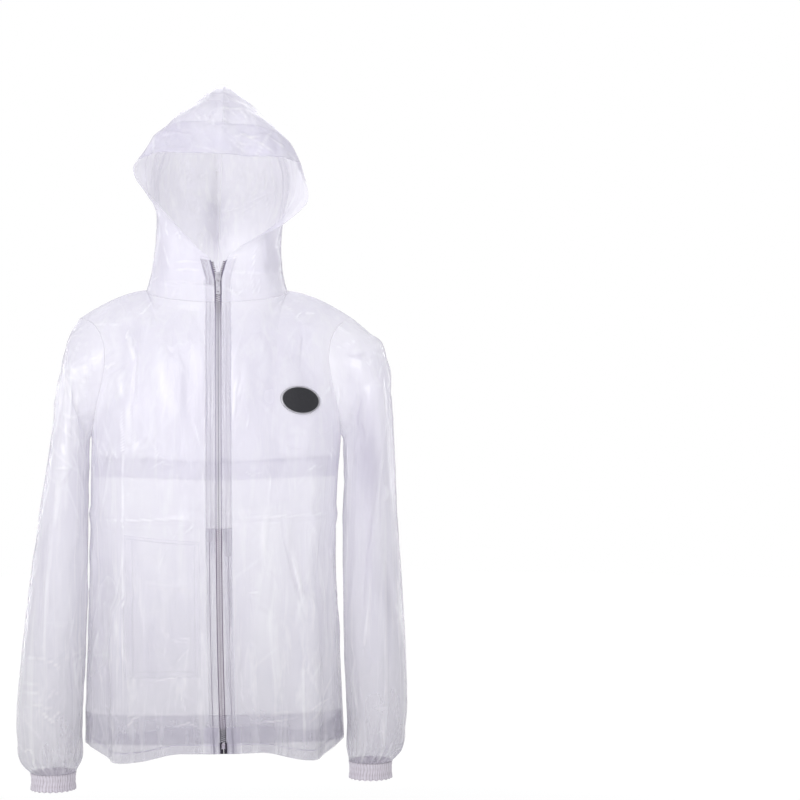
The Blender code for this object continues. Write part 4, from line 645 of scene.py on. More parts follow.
def sleeve_points(side, columns_round, along):
    """Rings of a sleeve: ovals in the plane through an outer and an inner edge, which the first
    stretch turns out of the armhole. Above the cuff, waves round the ring rise and fade."""
    table, sign = columns(SLEEVE[side]), SIGN[side]
    loop = armhole(side, columns_round // 2)
    turn = np.linspace(0, 2 * np.pi, len(loop), endpoint=False)
    rings = [loop + (sign * SEAM_GAP, 0, 0)]
    for i in range(len(table["along"])):
        outer = np.array([sign * table["outer_x"][i], 0, table["outer_z"][i]], float)
        inner = np.array([sign * table["inner_x"][i], 0, table["inner_z"][i]], float)
        ring = (outer + inner) / 2 + np.cos(turn)[:, None] * (outer - inner) / 2
        ring[:, 1] = -table["forward"][i] - np.sin(turn) * table["half_depth"][i]
        rings.append(ring)
    rings = smooth(np.concatenate([[0], table["along"]]), np.array(rings), along)
    out = unit(rings - rings.mean(axis=1, keepdims=True))
    past = np.clip(along - GATHER_MIDDLE, 0, 1) / (1 - GATHER_MIDDLE)
    rise = hump((along - GATHER_MIDDLE) / GATHER_REACH) * (1 - past)
    wave = GATHER_STAND * (1 + np.cos(GATHERS * turn)) / 2
    return rings + out * rise[:, None, None] * wave[:, None], turn


def hood_points(side, around, up):
    """Half the hood: around 0, the face edge, to 1, the centre back, by up 0, the neck seam, to
    1, the centre seam. A rib goes through its neck, cheek and widest points, and above that is
    a superellipse arch, |x/width|^square + |z/height|^square = 1, that leans to its apex."""
    table = columns(HOOD)
    knots = np.concatenate([HOOD_KNOTS, 0.5 + 0.5 * HOOD_ARCH / HOOD_ARCH[-1]])
    ribs = []
    for i, place in enumerate(table["around"]):
        face, share = ("front", 2 * place) if place <= 0.5 else ("back", 2 - 2 * place)
        x, y, z = top_edge(face, np.array(share * NECK_SHARE))
        rib = [(x, -y if face == "front" else y, z)]
        rib += [[table[f"{name}_{axis}"][i] for axis in "xyz"]
                for name in ("neck", "cheek", "wide")]
        wide_x, wide_y, wide_z = rib[-1]
        for angle in HOOD_ARCH:
            over = np.sin(angle) ** (2 / table["square"][i])
            across = np.maximum(np.cos(angle), 0) ** (2 / table["square"][i])
            rib.append((
                wide_x * across,
                wide_y + (table["apex_y"][i] - wide_y) * (1 - np.cos(angle)),
                wide_z + (table["apex_z"][i] - wide_z) * over,
            ))
        ribs.append(rib)
    ribs = smooth(knots, np.array(ribs, float).swapaxes(0, 1), up)
    points = smooth(table["around"], ribs.swapaxes(0, 1), around).swapaxes(0, 1)
    around, up = np.meshgrid(around, up)
    points[up >= 1, 0] = 0
    # the foot of each rib stands on the neck curve itself
    share = np.where(around <= 0.5, 2 * around, 2 - 2 * around) * NECK_SHARE
    front, back = top_edge("front", share), top_edge("back", share)
    foot = np.moveaxis(np.where(around <= 0.5, (front[0], -front[1], front[2]), back), 0, -1)
    points = points + (foot - points[:1]) * (1 - np.clip(up / HOOD_KNOTS[1], 0, 1))[..., None] ** 2
    # beside the zip the face edge follows the two parted rows of teeth
    x, y, z = np.moveaxis(points, -1, 0)
    beside = np.clip(1 - around / BRIM_SEAM, 0, 1) ** 2 * (1 - ramp(up, 0.20, 0.26))
    x = x + beside * (FILM_TO_ZIP_CENTRE + opening(np.minimum(z, 0.043)) - x[:, :1])
    y = y + beside * (-NECK_DEPTH - y[:, :1])
    high = np.maximum(z, 0)
    drop = hump((up - HOOD_KNOTS[3]) / BRIM_DROOP_REACH[0])
    drop = drop * np.clip(1 - around / BRIM_DROOP_REACH[1], 0, 1) ** 2
    zip_shift = zip_centre(z) * np.clip(1 - around / 0.36, 0, 1) ** 2
    fading = np.clip(1 - high / 0.042, 0, 1)
    x = SIGN[side] * x + zip_shift * fading + HOOD_LEAN * high * (1 - fading)
    z = z - HOOD_TILT * x * high - BRIM_DROOP[side] * drop
    return np.stack([x, y, z], axis=-1) + (SIGN[side] * SEAM_GAP / 2, 0, SEAM_GAP)


# ---------------------------------------------------------------- creases on a form
def normals(points, wrap=False):
    """Unit normals of a grid, the cross product of its two directions."""
    if wrap:
        right = np.roll(points, -1, axis=1) - np.roll(points, 1, axis=1)
    else:
        right = np.gradient(points, axis=1)
    return unit(np.cross(right, np.gradient(points, axis=0)))


def outward(points, wrap=False):
    """Unit normals that point away from the grid's own middle."""
    away = normals(points, wrap)
    centre = points.mean(axis=1, keepdims=True) if wrap else points.mean(axis=(0, 1)) * (1, 0, 1)
    return away if (away * (points - centre)).sum() > 0 else -away


def course(flat, path):
    """Distance of each point from a path of straight pieces, and how far along it is nearest."""
    start, step = path[:-1], np.diff(path, axis=0)
    length = np.linalg.norm(step, axis=1)
    share = ((flat[:, None] - start) * step).sum(axis=-1) / np.maximum(length**2, 1e-12)
    share = np.clip(share, 0, 1)
    away = np.linalg.norm(flat[:, None] - start - share[..., None] * step, axis=-1)
    nearest = away.argmin(axis=1)
    pick = np.arange(len(flat)), nearest
    before = np.concatenate([[0], np.cumsum(length)[:-1]])
    return away[pick], (before[nearest] + share[pick] * length[nearest]) / length.sum()


def placed_creases(points, away, pieces):
    """Stand and painted light and shade of the placed creases of some pieces at a grid's points.

    Each point is seen from the crease's eye on the plane y = 0. A crease is a squared cosine in
    the distance from its course, narrower and lower towards both ends, and it fades where the
    film turns away from that eye (or towards it, for the lining, which is seen from inside). A
    narrow one's painted highlight or shade comes and goes along it, between flanks painted the
    other way."""
    flat_points, flat_away = points.reshape(-1, 3), away.reshape(-1, 3)
    stand, shading_and_doubling = np.zeros(len(flat_points)), np.zeros(len(flat_points))
    rows = [(piece, *row) for piece, creases in CREASES for row in creases]
    for side, eye in EYE.items():
        eye = np.array(eye)
        scale = eye[1] / (eye[1] - flat_points[:, 1])
        seen = (eye + (flat_points - eye) * scale[:, None])[:, [0, 2]] * 1000
        facing = (unit(eye - flat_points) * flat_away).sum(axis=1)
        for i, (piece, tint, rise, half, *path) in enumerate(rows):
            if piece not in pieces or piece not in SEEN_FROM[side]:
                continue
            path = np.array(path, float).reshape(-1, 2)
            flank = half * (FLANK if half < WIDE_CREASE else 1)
            low, high = path.min(axis=0) - flank, path.max(axis=0) + flank
            near = np.flatnonzero(((seen > low) & (seen < high)).all(axis=1))
            if not len(near):
                continue
            distance, share = course(seen[near], path)
            ends = ramp(np.minimum(share, 1 - share), -0.02, 0.34)
            turned = -facing[near] if piece == "lining" else facing[near]
            shown = ends * ramp(turned, 0.15, 0.50)
            height = hump(distance / (half * (0.75 + 0.25 * ends)))
            stand[near] += rise * 0.001 * height * shown
            if half < WIDE_CREASE:
                broken = 0.72 + 0.28 * np.sin(share * (9 + i % 7) + i)
                height = (height - 0.22 * hump(distance / flank)) * broken
            shading_and_doubling[near] += tint * height * shown
    return stand.reshape(points.shape[:2]), shading_and_doubling.reshape(points.shape[:2])


def strewn_creases(flat, seed, count, length, half, stand, tint, lie=0.0, around=None):
    """Small creases strewn over a form at random places, each an arc on its flat lengths.

    flat holds each point's lengths across and up the form, and around is the length after which
    a closed form begins again. lie is how strongly they run upwards, from 0 to 1."""
    chance = np.random.default_rng(seed)
    shape, flat = flat.shape[:2], flat.reshape(-1, 2)
    low, high = STREW_FIELD if around is None else (np.array([0, 0]), np.array([around, 0.7]))
    total, shading_and_doubling = np.zeros(len(flat)), np.zeros(len(flat))
    for _ in range(count):
        middle = chance.uniform(low, high)
        angle = chance.uniform(-np.pi / 2, np.pi / 2) * (1 - lie) + np.pi / 2
        reach = chance.uniform(*length) / 2
        wide = chance.uniform(*half)
        sign = chance.choice([1.0, -0.8])
        bend = chance.uniform(-0.35, 0.35) * reach
        strong, tinted = chance.uniform(0.4, 1.0), chance.uniform(0.2, 1.0)
        offset = flat - middle
        if around is not None:
            offset[:, 0] = (offset[:, 0] + around / 2) % around - around / 2
        near = np.flatnonzero((np.abs(offset) < reach + wide + abs(bend)).all(axis=1))
        if not len(near):
            continue
        along = offset[near] @ (np.cos(angle), np.sin(angle)) / reach
        aside = offset[near] @ (-np.sin(angle), np.cos(angle)) - bend * (along**2 - 0.5)
        height = hump(aside / wide) * hump(along)
        total[near] += sign * stand * height * strong
        # painted light along a crease that stands out, painted shade along one that sinks in
        shading_and_doubling[near] += sign * tint * height * tinted
    return total.reshape(shape), shading_and_doubling.reshape(shape)


def swell(points, seed, length, height):
    """Soft rise and fall of the film: the sum of nine sine waves in space, each with a random
    direction and a wavelength near length."""
    chance = np.random.default_rng(seed)
    ways = unit(chance.normal(size=(9, 3)))
    ways = ways * (2 * np.pi / (length * chance.uniform(0.7, 1.6, (9, 1))))
    return np.sin(points @ ways.T + chance.uniform(0, 2 * np.pi, 9)).sum(axis=-1) * height / 3


def crumple(points, away, seed, length, height, half, many=12):
    """Crumpled film's facets: for each of several random directions, slightly bent by a swell,
    a height that rises and falls in straight slopes, so that it has an edge each length or so.
    Each comes and goes with a wide swell of its own, and fades where the film faces along its
    direction. Gives the height, and a painted shading that is 1 on an edge and falls to 0 at half
    from it: a painted highlight on most edges and painted shade (below zero) on some."""
    chance = np.random.default_rng(seed)
    bent = points + swell(points, seed + 1, length * 4, length * 0.10)[..., None]
    total, shading_and_doubling = 0, 0
    for i in range(many):
        step = length * chance.uniform(0.7, 2.2)
        way = unit(chance.normal(size=3) * (1, 1, 0.6))
        place = bent @ way / step + chance.uniform(0, 1)
        aside = np.abs(place - np.round(place))
        shown = ramp(swell(points, seed + 20 + i, length * 2.6, 1.0), 0.35, 1.2)
        shown = shown * (1 - ramp(np.abs(away @ way), 0.45, 0.75))
        total = total + (0.25 - aside) * shown * step / length
        strong, sign = chance.uniform(0.3, 1.0), chance.choice([1.0, 1.0, -0.6])
        shading_and_doubling = shading_and_doubling + hump(aside * step / half) * shown * strong * sign
    return total * height, shading_and_doubling


# ---------------------------------------------------------------- meshes
def closed_wall(name, outer, inner, wrap=False, marks=None, flip=False, lengths=None):
    """A closed wall between two grids of the same size, joined along their rims by strips.

    marks holds a number for each grid point, by attribute name. The UV map holds metres across
    and up the grid."""
    rows, cols = outer.shape[:2]
    count = rows * cols
    grid = np.arange(count).reshape(rows, cols)
    if wrap:
        grid = np.concatenate([grid, grid[:, :1]], axis=1)
    face = grid_faces(grid)
    strips = [(grid[0, 1:], grid[0, :-1]), (grid[-1, :-1], grid[-1, 1:])]
    if not wrap:
        strips += [(grid[:-1, 0], grid[1:, 0]), (grid[1:, -1], grid[:-1, -1])]
    faces = [face, face[:, ::-1] + count]
    faces += [np.stack([start, end, end + count, start + count], axis=1) for start, end in strips]
    faces = np.concatenate(faces)
    if flip:
        faces = faces[:, ::-1]
    mesh = new_mesh(name, np.concatenate([outer.reshape(-1, 3), inner.reshape(-1, 3)]), faces)
    inside = np.ones(len(faces), dtype=np.int32)
    inside[:len(face)] = 0
    mesh.polygons.foreach_set("material_index", inside)
    mesh.polygons.foreach_set("use_smooth", np.arange(len(faces)) < 2 * len(face))
    for mark, values in (marks or {}).items():
        mark_points(mesh, mark, np.tile(values.ravel(), 2))
    if lengths is None:
        lengths = np.stack([lengths_along(outer, 1), lengths_along(outer, 0)], axis=-1)
    uv = np.tile(lengths.reshape(-1, 2), (2, 1))[faces.ravel()]
    mesh.uv_layers.new(name="lengths").data.foreach_set("uv", uv.astype(np.float32).ravel())
    return mesh


def grid_faces(grid):
    """The four-cornered faces between neighbours on a grid of vertex numbers."""
    face = np.stack([grid[:-1, :-1], grid[:-1, 1:], grid[1:, 1:], grid[1:, :-1]], axis=-1)
    return face.reshape(-1, 4)


def lengths_along(points, axis):
    """How far each point lies along its row (axis 1) or column (axis 0) of a grid."""
    first = np.take(points, [0], axis=axis)
    return np.linalg.norm(np.diff(points, axis=axis, prepend=first), axis=-1).cumsum(axis=axis)


def mark_points(mesh, name, values):
    """Gives each of a mesh's points a number that its finish reads."""
    layer = mesh.attributes.new(name, "FLOAT", "POINT")
    layer.data.foreach_set("value", values.astype(np.float32))


def new_mesh(name, vertices, faces):
    """A mesh of faces that all have the same number of corners, shaded smooth."""
    faces = np.ascontiguousarray(faces, dtype=np.int32)
    mesh = bpy.data.meshes.new(name)
    mesh.vertices.add(len(vertices))
    mesh.vertices.foreach_set("co", np.ascontiguousarray(vertices, dtype=np.float32).ravel())
    mesh.loops.add(faces.size)
    mesh.loops.foreach_set("vertex_index", faces.ravel())
    mesh.polygons.add(len(faces))
    starts = np.arange(0, faces.size, faces.shape[1], dtype=np.int32)
    mesh.polygons.foreach_set("loop_start", starts)
    mesh.update(calc_edges=True)
    mesh.validate()
    mesh.shade_smooth()
    return mesh


def show(name, mesh, finish, nodes, body="coat"):
    """Puts a mesh in the scene with its finish, in place of CAD nodes, riding on a body."""
    made = bpy.data.objects.new(name, mesh)
    bpy.context.scene.collection.objects.link(made)
    for one in finish if isinstance(finish, tuple) else (finish, finish):
        mesh.materials.append(one)
    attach(made, body)
    if nodes:
        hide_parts(*nodes)
    return made


# ---------------------------------------------------------------- film
# How far a mark goes from a seam's rim or from a weld's middle, in metres, and how strong it is
SEAM_MARK = ((0.0, 0.0010, 0.0014, 0.0052, 0.0058), (0.55, 0.55, 0.14, 0.14, 0.0))
WELD_MARK = ((0.0, 0.0005, 0.0011), (1.0, 1.0, 0.0))
FRONT_WIDTH, FRONT_HEIGHT, BACK_HEIGHT = 0.235, 0.654, 0.730
# points across and up the grid of each piece, before those that its seams and welds add
GRID = {"front": (92, 240), "back": (154, 232), "flap": (136, 88), "pocket": (52, 96),
        "hem_front": (88, 18), "hem_back": (154, 18), "sleeve": (160, 176), "cuff": (250, 18),
        "hood": (100, 150), "brim": (30, 66)}
SLEEVE_ROUND, SLEEVE_LENGTH = 0.38, 0.56
HOOD_ROUND, HOOD_HEIGHT = 0.33, 0.40
TAPE_COVERED = (0.0132, 0.0142)      # where film over the zip's tape turns from clear to milky
HEM_WELD = 0.0135                    # above the hem's edge
FLAP_WELD = 0.028                    # above the flap's free edge
POCKET_WELD, POCKET_MOUTH_WELD = 0.0085, 0.0045


def at_rims(length, low=True, high=True):
    """Places, as shares of a length, where a seam's mark changes beside its rims."""
    steps = np.array(SEAM_MARK[0][1:]) / length
    return [*(steps if low else ()), *(1 - steps if high else ())]


def at_weld(middle, length):
    """Places, as shares of a length, where a weld's mark changes."""
    steps = np.array(WELD_MARK[0][1:]) / length
    return [*(middle - steps), middle, *(middle + steps)]


def rim_mark(distance):
    return np.interp(distance, *SEAM_MARK)


def weld_mark(distance):
    return np.interp(np.abs(distance), *WELD_MARK)


def eased(distance, reach=0.016):
    """0 at a seam and 1 from reach on, so that neighbours still meet there."""
    return ramp(distance, 0.0, reach)


def textured(base, away, flat, pieces, seed, ease, lie=0.0, around=None, rough=1.0, crisp=1.0):
    """A form's points with all its creases: the placed ones, the strewn ones, the film's soft
    swell and its crumpled facets, of which crisp is the strength. Gives the points and the painted
    light and shade of the film at each: painted highlights and shade along its creases and on its
    facets' edges."""
    placed, shading_and_doubling = placed_creases(base, away, pieces)
    strewn, tint = strewn_creases(flat, seed, SMALL_CREASES, (0.025, 0.100), (0.0030, 0.0080),
                                  0.0006 * rough, 0.07, lie, around)
    wide, wide_shading = strewn_creases(flat, seed + 7, LARGE_CREASES, (0.10, 0.30), (0.010, 0.026),
                                     0.0016 * rough, 0.10, max(lie, 0.7), around)
    soft = swell(base * (1, 1, 0.25), seed + 1, 0.11, 0.0011 * rough)
    facets, edges = crumple(base, away, seed + 2, 0.042, 0.0026 * rough, CRUMPLE_EDGE)
    stand = placed + (strewn + wide + soft + facets * crisp) * ease
    # painted highlights and shade of the strewn creases and of the facets' edges
    shading_and_doubling = shading_and_doubling + tint + wide_shading + edges * crisp * 0.24 * rough * ease
    return base + away * stand[..., None], shading_and_doubling


def smoother_middle(base):
    """The film lies smoother over the middle of the chest and the back than at its sides."""
    return 0.30 + 0.80 * ramp(np.abs(base[..., 0]), 0.08, 0.17)


def front_form(side, across, rise):
    """A front panel's outer face with its creases, its outward directions and its tone."""
    base = body_points(side, "front", across, rise)
    away = outward(base)
    across, rise = np.meshgrid(across, rise)
    flat = np.stack([SIGN[side] * across * FRONT_WIDTH, rise * FRONT_HEIGHT], axis=-1)
    # the film lies flat over the tape
    ease = eased(across * FRONT_WIDTH - 0.013) * eased((1 - across) * FRONT_WIDTH)
    ease = ease * eased((1 - rise) * FRONT_HEIGHT)
    points, shading_and_doubling = textured(base, away, flat, ("front",), SEED["front"], ease,
                            crisp=smoother_middle(base))
    return base + (points - base) * np.maximum(ease, 0.15)[..., None], away, shading_and_doubling


def back_form(across, rise, pieces=("back",)):
    """The back's outer face with its creases, its outward directions and its tone."""
    base = back_points(across, rise)
    away = outward(base)
    across, rise = np.meshgrid(across, rise)
    flat = np.stack([across * FRONT_WIDTH, rise * BACK_HEIGHT], axis=-1)
    ease = eased((1 - np.abs(across)) * FRONT_WIDTH) * eased((1 - rise) * BACK_HEIGHT)
    crisp = smoother_middle(base) + 0.35
    points, shading_and_doubling = textured(base, away, flat, pieces, SEED["back"], ease, crisp=crisp)
    return base + (points - base) * np.maximum(ease, 0.15)[..., None], away, shading_and_doubling


def layer_of(points, away, low, high):
    """The outer and inner face of a layer between two distances from a form's face."""
    return points + away * high, points + away * low


def sheet_piece(name, faces, away, marks, finish, nodes, flat_grid, wrap=False,
                lengths=None):
    """A closed wall between two faces, shown with its finish in place of its CAD nodes. flat_grid,
    the size it was cut to, is not used.
    """
    outer, inner = faces
    inwards = bool((normals(outer, wrap) * away).sum() < 0)
    mesh = closed_wall(name, outer, inner, wrap, marks, inwards, lengths)
    made = show(name, mesh, finish, nodes)


def over_tape(base):
    """1 where a row is within the tape's width of the film's edge, so that the film is clearer."""
    return 1 - ramp(lengths_along(base, 1), *TAPE_COVERED)


def make_fronts(wall, finish):
    """Both front panels, with welds at their seams and above the hem."""
    for side in ("left", "right"):
        across = places(0, 1, GRID["front"][0], [*at_rims(FRONT_WIDTH),
                                                 *(np.array(TAPE_COVERED) / FRONT_WIDTH)])
        rise = places(0, 1, GRID["front"][1], [*at_rims(FRONT_HEIGHT, low=False),
                                               *at_weld(HEM_WELD / FRONT_HEIGHT, FRONT_HEIGHT)])
        points, away, shading_and_doubling = front_form(side, across, rise)
        a, r = np.meshgrid(across, rise)
        weld = np.maximum.reduce([
            0.13 * rim_mark((1 - a) * FRONT_WIDTH), 0.2 * rim_mark((1 - r) * FRONT_HEIGHT),
            weld_mark(r * FRONT_HEIGHT - HEM_WELD),
        ])
        base = body_points(side, "front", across, rise)
        # the hem's corner beside the zip, where its turning is only a darker fold
        doubled = (1 - ramp(r, HEM_RISE * 0.97, HEM_RISE)) * (1 - ramp(a, 0.104, 0.111))
        clear = over_tape(base) * (1 - doubled)
        sheet_piece(f"front_film_{side}", layer_of(points, away, -wall, 0), away,
                    {"shading_and_doubling": shading_and_doubling - 0.6 * doubled, "weld": weld, "clear": clear}, finish,
                    [f"front_panel_{side}"], base)


def make_back(wall, finish):
    """The back panel with its dropped tail, in one piece."""
    exact = at_rims(2 * FRONT_WIDTH)
    across = places(-1, 1, GRID["back"][0], [*(2 * np.array(exact) - 1), 0.0])
    rise = places(0, 1, GRID["back"][1], [*at_rims(BACK_HEIGHT, low=False),
                                          *at_weld(HEM_WELD / BACK_HEIGHT, BACK_HEIGHT)])
    points, away, shading_and_doubling = back_form(across[::-1], rise)
    a, r = np.meshgrid(across[::-1], rise)
    weld = np.maximum.reduce([
        0.13 * rim_mark((1 - np.abs(a)) * FRONT_WIDTH), 0.2 * rim_mark((1 - r) * BACK_HEIGHT),
        weld_mark(r * BACK_HEIGHT - HEM_WELD),
    ])
    sheet_piece("back_film", layer_of(points, away, -wall, 0), away, {"shading_and_doubling": shading_and_doubling, "weld": weld},
                finish, ["back_panel"], back_points(across[::-1], rise))


def flap_lift(across, rise):
    """How far the vent flap billows off the back: most a little above its free edge."""
    share = (rise - FLAP_RISE[0]) / (FLAP_RISE[1] - FLAP_RISE[0])
    side = hump(across / FLAP_ACROSS)
    wave = 0.6 + 0.4 * np.sin(across * 17) * (1 - share)
    return LAYER_GAP + 0.0035 * ramp(1 - share, 0.0, 0.8) * (0.35 + 0.65 * side) * wave


def make_vent_flap(wall, finish, stud_finish):
    """The flap over the upper back, welded along its top, and the three studs that hold it."""
    low, span = FLAP_RISE[0], FLAP_RISE[1] - FLAP_RISE[0]
    height = span * BACK_HEIGHT
    across = places(-FLAP_ACROSS, FLAP_ACROSS, GRID["flap"][0], [0.0])[::-1]
    rows = np.array([*at_rims(height, low=False), *at_weld(FLAP_WELD / height, height)])
    rise = places(*FLAP_RISE, GRID["flap"][1], low + rows * span)
    points, away, shading_and_doubling = back_form(across, rise, ("back", "flap"))
    a, r = np.meshgrid(across, rise)
    lift = flap_lift(a, r)
    up = (r - low) * BACK_HEIGHT
    weld = np.maximum.reduce([
        rim_mark(height - up), 2.0 * weld_mark((up - FLAP_WELD) * 0.45), 0.8 * weld_mark(up),
        0.8 * weld_mark((FLAP_ACROSS - np.abs(a)) * FRONT_WIDTH),
    ])
    hem = 1 - ramp(up, FLAP_WELD - 0.001, FLAP_WELD)
    shading_and_doubling = shading_and_doubling + 0.15 - 0.50 * hem
    faces = layer_of(points, away, lift[..., None], (lift + wall)[..., None])
    clear = 0.75 * (1 - hem)
    sheet_piece("vent_flap_film", faces, away, {"shading_and_doubling": shading_and_doubling, "weld": weld, "clear": clear},
                finish, ["back_vent_flap"], back_points(across, rise))
    for name, x in STUD_X.items():
        place, out = on_form(faces[0], away, np.array([[x, STUD_Z]]))
        stud(f"stud_{name}", place[0], out, stud_finish, f"vent_stud_{name}")


def on_form(points, away, flat):
    """The points of a form at places x, z, each on the plane of the nearest grid point, and the
    form's outward direction at the first of them."""
    x, z = flat[:, 0], flat[:, 1]
    grid, out = points.reshape(-1, 3), away.reshape(-1, 3)
    near = (np.abs(grid[:, 0] - x.mean()) < 0.05) & (np.abs(grid[:, 2] - z.mean()) < 0.05)
    grid, out = grid[near], out[near]
    distance = (grid[:, None, 0] - x) ** 2 + (grid[:, None, 2] - z) ** 2
    nearest = distance.argmin(axis=0)
    point, way = grid[nearest], out[nearest]
    y = point[:, 1] - (way[:, 0] * (x - point[:, 0]) + way[:, 2] * (z - point[:, 2])) / way[:, 1]
    return np.stack([x, y, z], axis=1), way[0]


def turned_profile(profile, sides):
    """A profile of (radius, height) pairs turned round the height's axis, as a grid."""
    turn = np.linspace(0, 2 * np.pi, sides, endpoint=False)
    radius, height = np.array(profile).T
    return np.stack([
        radius[:, None] * np.cos(turn), radius[:, None] * np.sin(turn),
        np.broadcast_to(height[:, None], (len(profile), sides)),
    ], axis=-1)


def lathe_faces(rows, sides):
    """Faces of a turned grid, which closes on itself round each ring."""
    grid = np.arange(rows * sides).reshape(rows, sides)
    return grid_faces(np.concatenate([grid, grid[:, :1]], axis=1))


def stud(name, place, out, finish, node):
    """A clear snap stud: a cap whose profile dips inside a raised rim, on a flat foot."""
    profile = [(0.00002, -0.0004), (0.0046, -0.0004), (0.0049, 0.0002), (0.0049, 0.0009),
               (0.0045, 0.0015), (0.0038, 0.0017), (0.0031, 0.0014), (0.0026, 0.0009),
               (0.0018, 0.0010), (0.0009, 0.0012), (0.00002, 0.0012)]
    across = unit(np.cross([0.0, 0.0, 1.0], out))
    axes = np.stack([across, np.cross(out, across), out])
    grid = turned_profile(profile, 32) @ axes + place
    mesh = new_mesh(name, grid.reshape(-1, 3), lathe_faces(len(profile), 32))
    show(name, mesh, finish, [node])


def make_pocket(wall, finish):
    """The patch pocket on the right front, welded round three sides."""
    low, high = POCKET_ACROSS
    bottom, top = POCKET_RISE
    width, height = (high - low) * FRONT_WIDTH, (top - bottom) * FRONT_HEIGHT
    double = [*at_rims(width), *at_weld(POCKET_WELD / width, width),
              *at_weld(1 - POCKET_WELD / width, width)]
    across = places(low, high, GRID["pocket"][0], low + np.array(double) * (high - low))
    rows = [*at_rims(height), *at_weld(POCKET_WELD / height, height),
            *at_weld(1 - POCKET_MOUTH_WELD / height, height)]
    rise = places(bottom, top, GRID["pocket"][1], bottom + np.array(rows) * (top - bottom))
    points, away, shading_and_doubling = front_form("right", across, rise)
    a, r = np.meshgrid(across, rise)
    left, right = (a - low) * FRONT_WIDTH, (high - a) * FRONT_WIDTH
    under, over = (r - bottom) * FRONT_HEIGHT, (top - r) * FRONT_HEIGHT
    weld = np.maximum.reduce([
        rim_mark(left), rim_mark(right), rim_mark(under), weld_mark(over),
        weld_mark(over - POCKET_MOUTH_WELD),
        *(0.7 * weld_mark(edge - POCKET_WELD) for edge in (left, right, under)),
    ])
    lift = LAYER_GAP + 0.0022 * hump((r - top) / 0.14) * hump((a - (low + high) / 2) / (high - low))
    faces = layer_of(points, away, lift[..., None], (lift + wall)[..., None])
    sheet_piece("pocket_film", faces, away, {"shading_and_doubling": shading_and_doubling, "weld": weld}, finish, ["patch_pocket"],
                body_points("right", "front", across, rise))


def make_hem_turnings(wall, finish):
    """The hem's second layer of film, inside both fronts and the back."""
    inside = -LAYER - HEM_SET_IN
    steps = np.array(at_weld(HEM_WELD / HEM_TURNED, HEM_TURNED))
    rise = places(0, HEM_RISE, GRID["hem_front"][1], steps * HEM_RISE)
    for side in ("left", "right", "back"):
        if side == "back":
            across = places(-1, 1, GRID["hem_back"][0], [0.0])[::-1]
            form, base, height = back_form(across, rise), back_points(across, rise), BACK_HEIGHT
            name, over = "back", "back_film"
        else:
            across = places(1 / 9, 1, GRID["hem_front"][0])
            form, base = front_form(side, across, rise), body_points(side, "front", across, rise)
            height, name, over = FRONT_HEIGHT, f"front_{side}", f"front_film_{side}"
        points, away, shading_and_doubling = form
        r = np.meshgrid(across, rise)[1]
        weld = np.maximum(weld_mark(r * height - HEM_WELD),
                          0.8 * weld_mark((HEM_RISE - r) * height))
        sheet_piece(f"hem_film_{name}", layer_of(points, away, inside - wall, inside), away,
                    {"shading_and_doubling": shading_and_doubling * 0, "weld": weld}, finish, [f"hem_turning_{name}"], base)


def sleeve_form(side, columns_round, along):
    """A sleeve's outer face with its creases: many fine gathers above the cuff, which come and
    go round the ring, and its outward directions and tone."""
    base, turn = sleeve_points(side, columns_round, along)
    away = outward(base, wrap=True)
    turn_grid, along_grid = np.meshgrid(turn, along)
    around = SLEEVE_ROUND
    flat = np.stack([turn_grid / (2 * np.pi) * around, along_grid * SLEEVE_LENGTH], axis=-1)
    ease = eased(along_grid * SLEEVE_LENGTH, 0.03) * eased((1 - along_grid) * SLEEVE_LENGTH, 0.02)
    name = f"sleeve_{side}"
    points, shading_and_doubling = textured(base, away, flat, (name,), SEED[name], ease, 0.55, around, 1.1,
                            crisp=1.7 - 0.9 * ramp(along_grid, 0.15, 0.50))
    near = hump((along_grid - 0.975) / 0.085) * (1 - ramp(along_grid, 0.985, 1.0) * 0.7)
    fine = np.sin(turn_grid * 19 + 1.6 * np.sin(turn_grid * 3 + along_grid * 9))
    fine = fine + 0.7 * np.sin(turn_grid * 27 - along_grid * 12 + 1.3)
    points = points + away * (near * fine * 0.00075)[..., None]
    # painted light and shade along the fine gathers above the cuff
    shading_and_doubling = shading_and_doubling + 0.12 * near * fine
    return points, away, shading_and_doubling, turn_grid, along_grid, base


def make_sleeves(wall, finish):
    """Both sleeves, each one piece of film welded along the underarm."""
    for side in ("left", "right"):
        along = places(0, 1, GRID["sleeve"][1], at_rims(SLEEVE_LENGTH))
        points, away, shading_and_doubling, turn, length, base = sleeve_form(side, GRID["sleeve"][0], along)
        round_seam = (np.abs(turn - np.pi)) / (2 * np.pi) * SLEEVE_ROUND
        weld = np.maximum.reduce([
            0.13 * rim_mark(length * SLEEVE_LENGTH), 0.2 * rim_mark((1 - length) * SLEEVE_LENGTH),
            0.5 * np.interp(round_seam, (0, 0.0018, 0.0030), (1, 0.4, 0)),
        ])
        sheet_piece(f"sleeve_film_{side}", layer_of(points, away, -wall, 0), away,
                    {"shading_and_doubling": shading_and_doubling, "weld": weld}, finish, [f"sleeve_{side}"], base,
                    wrap=True)


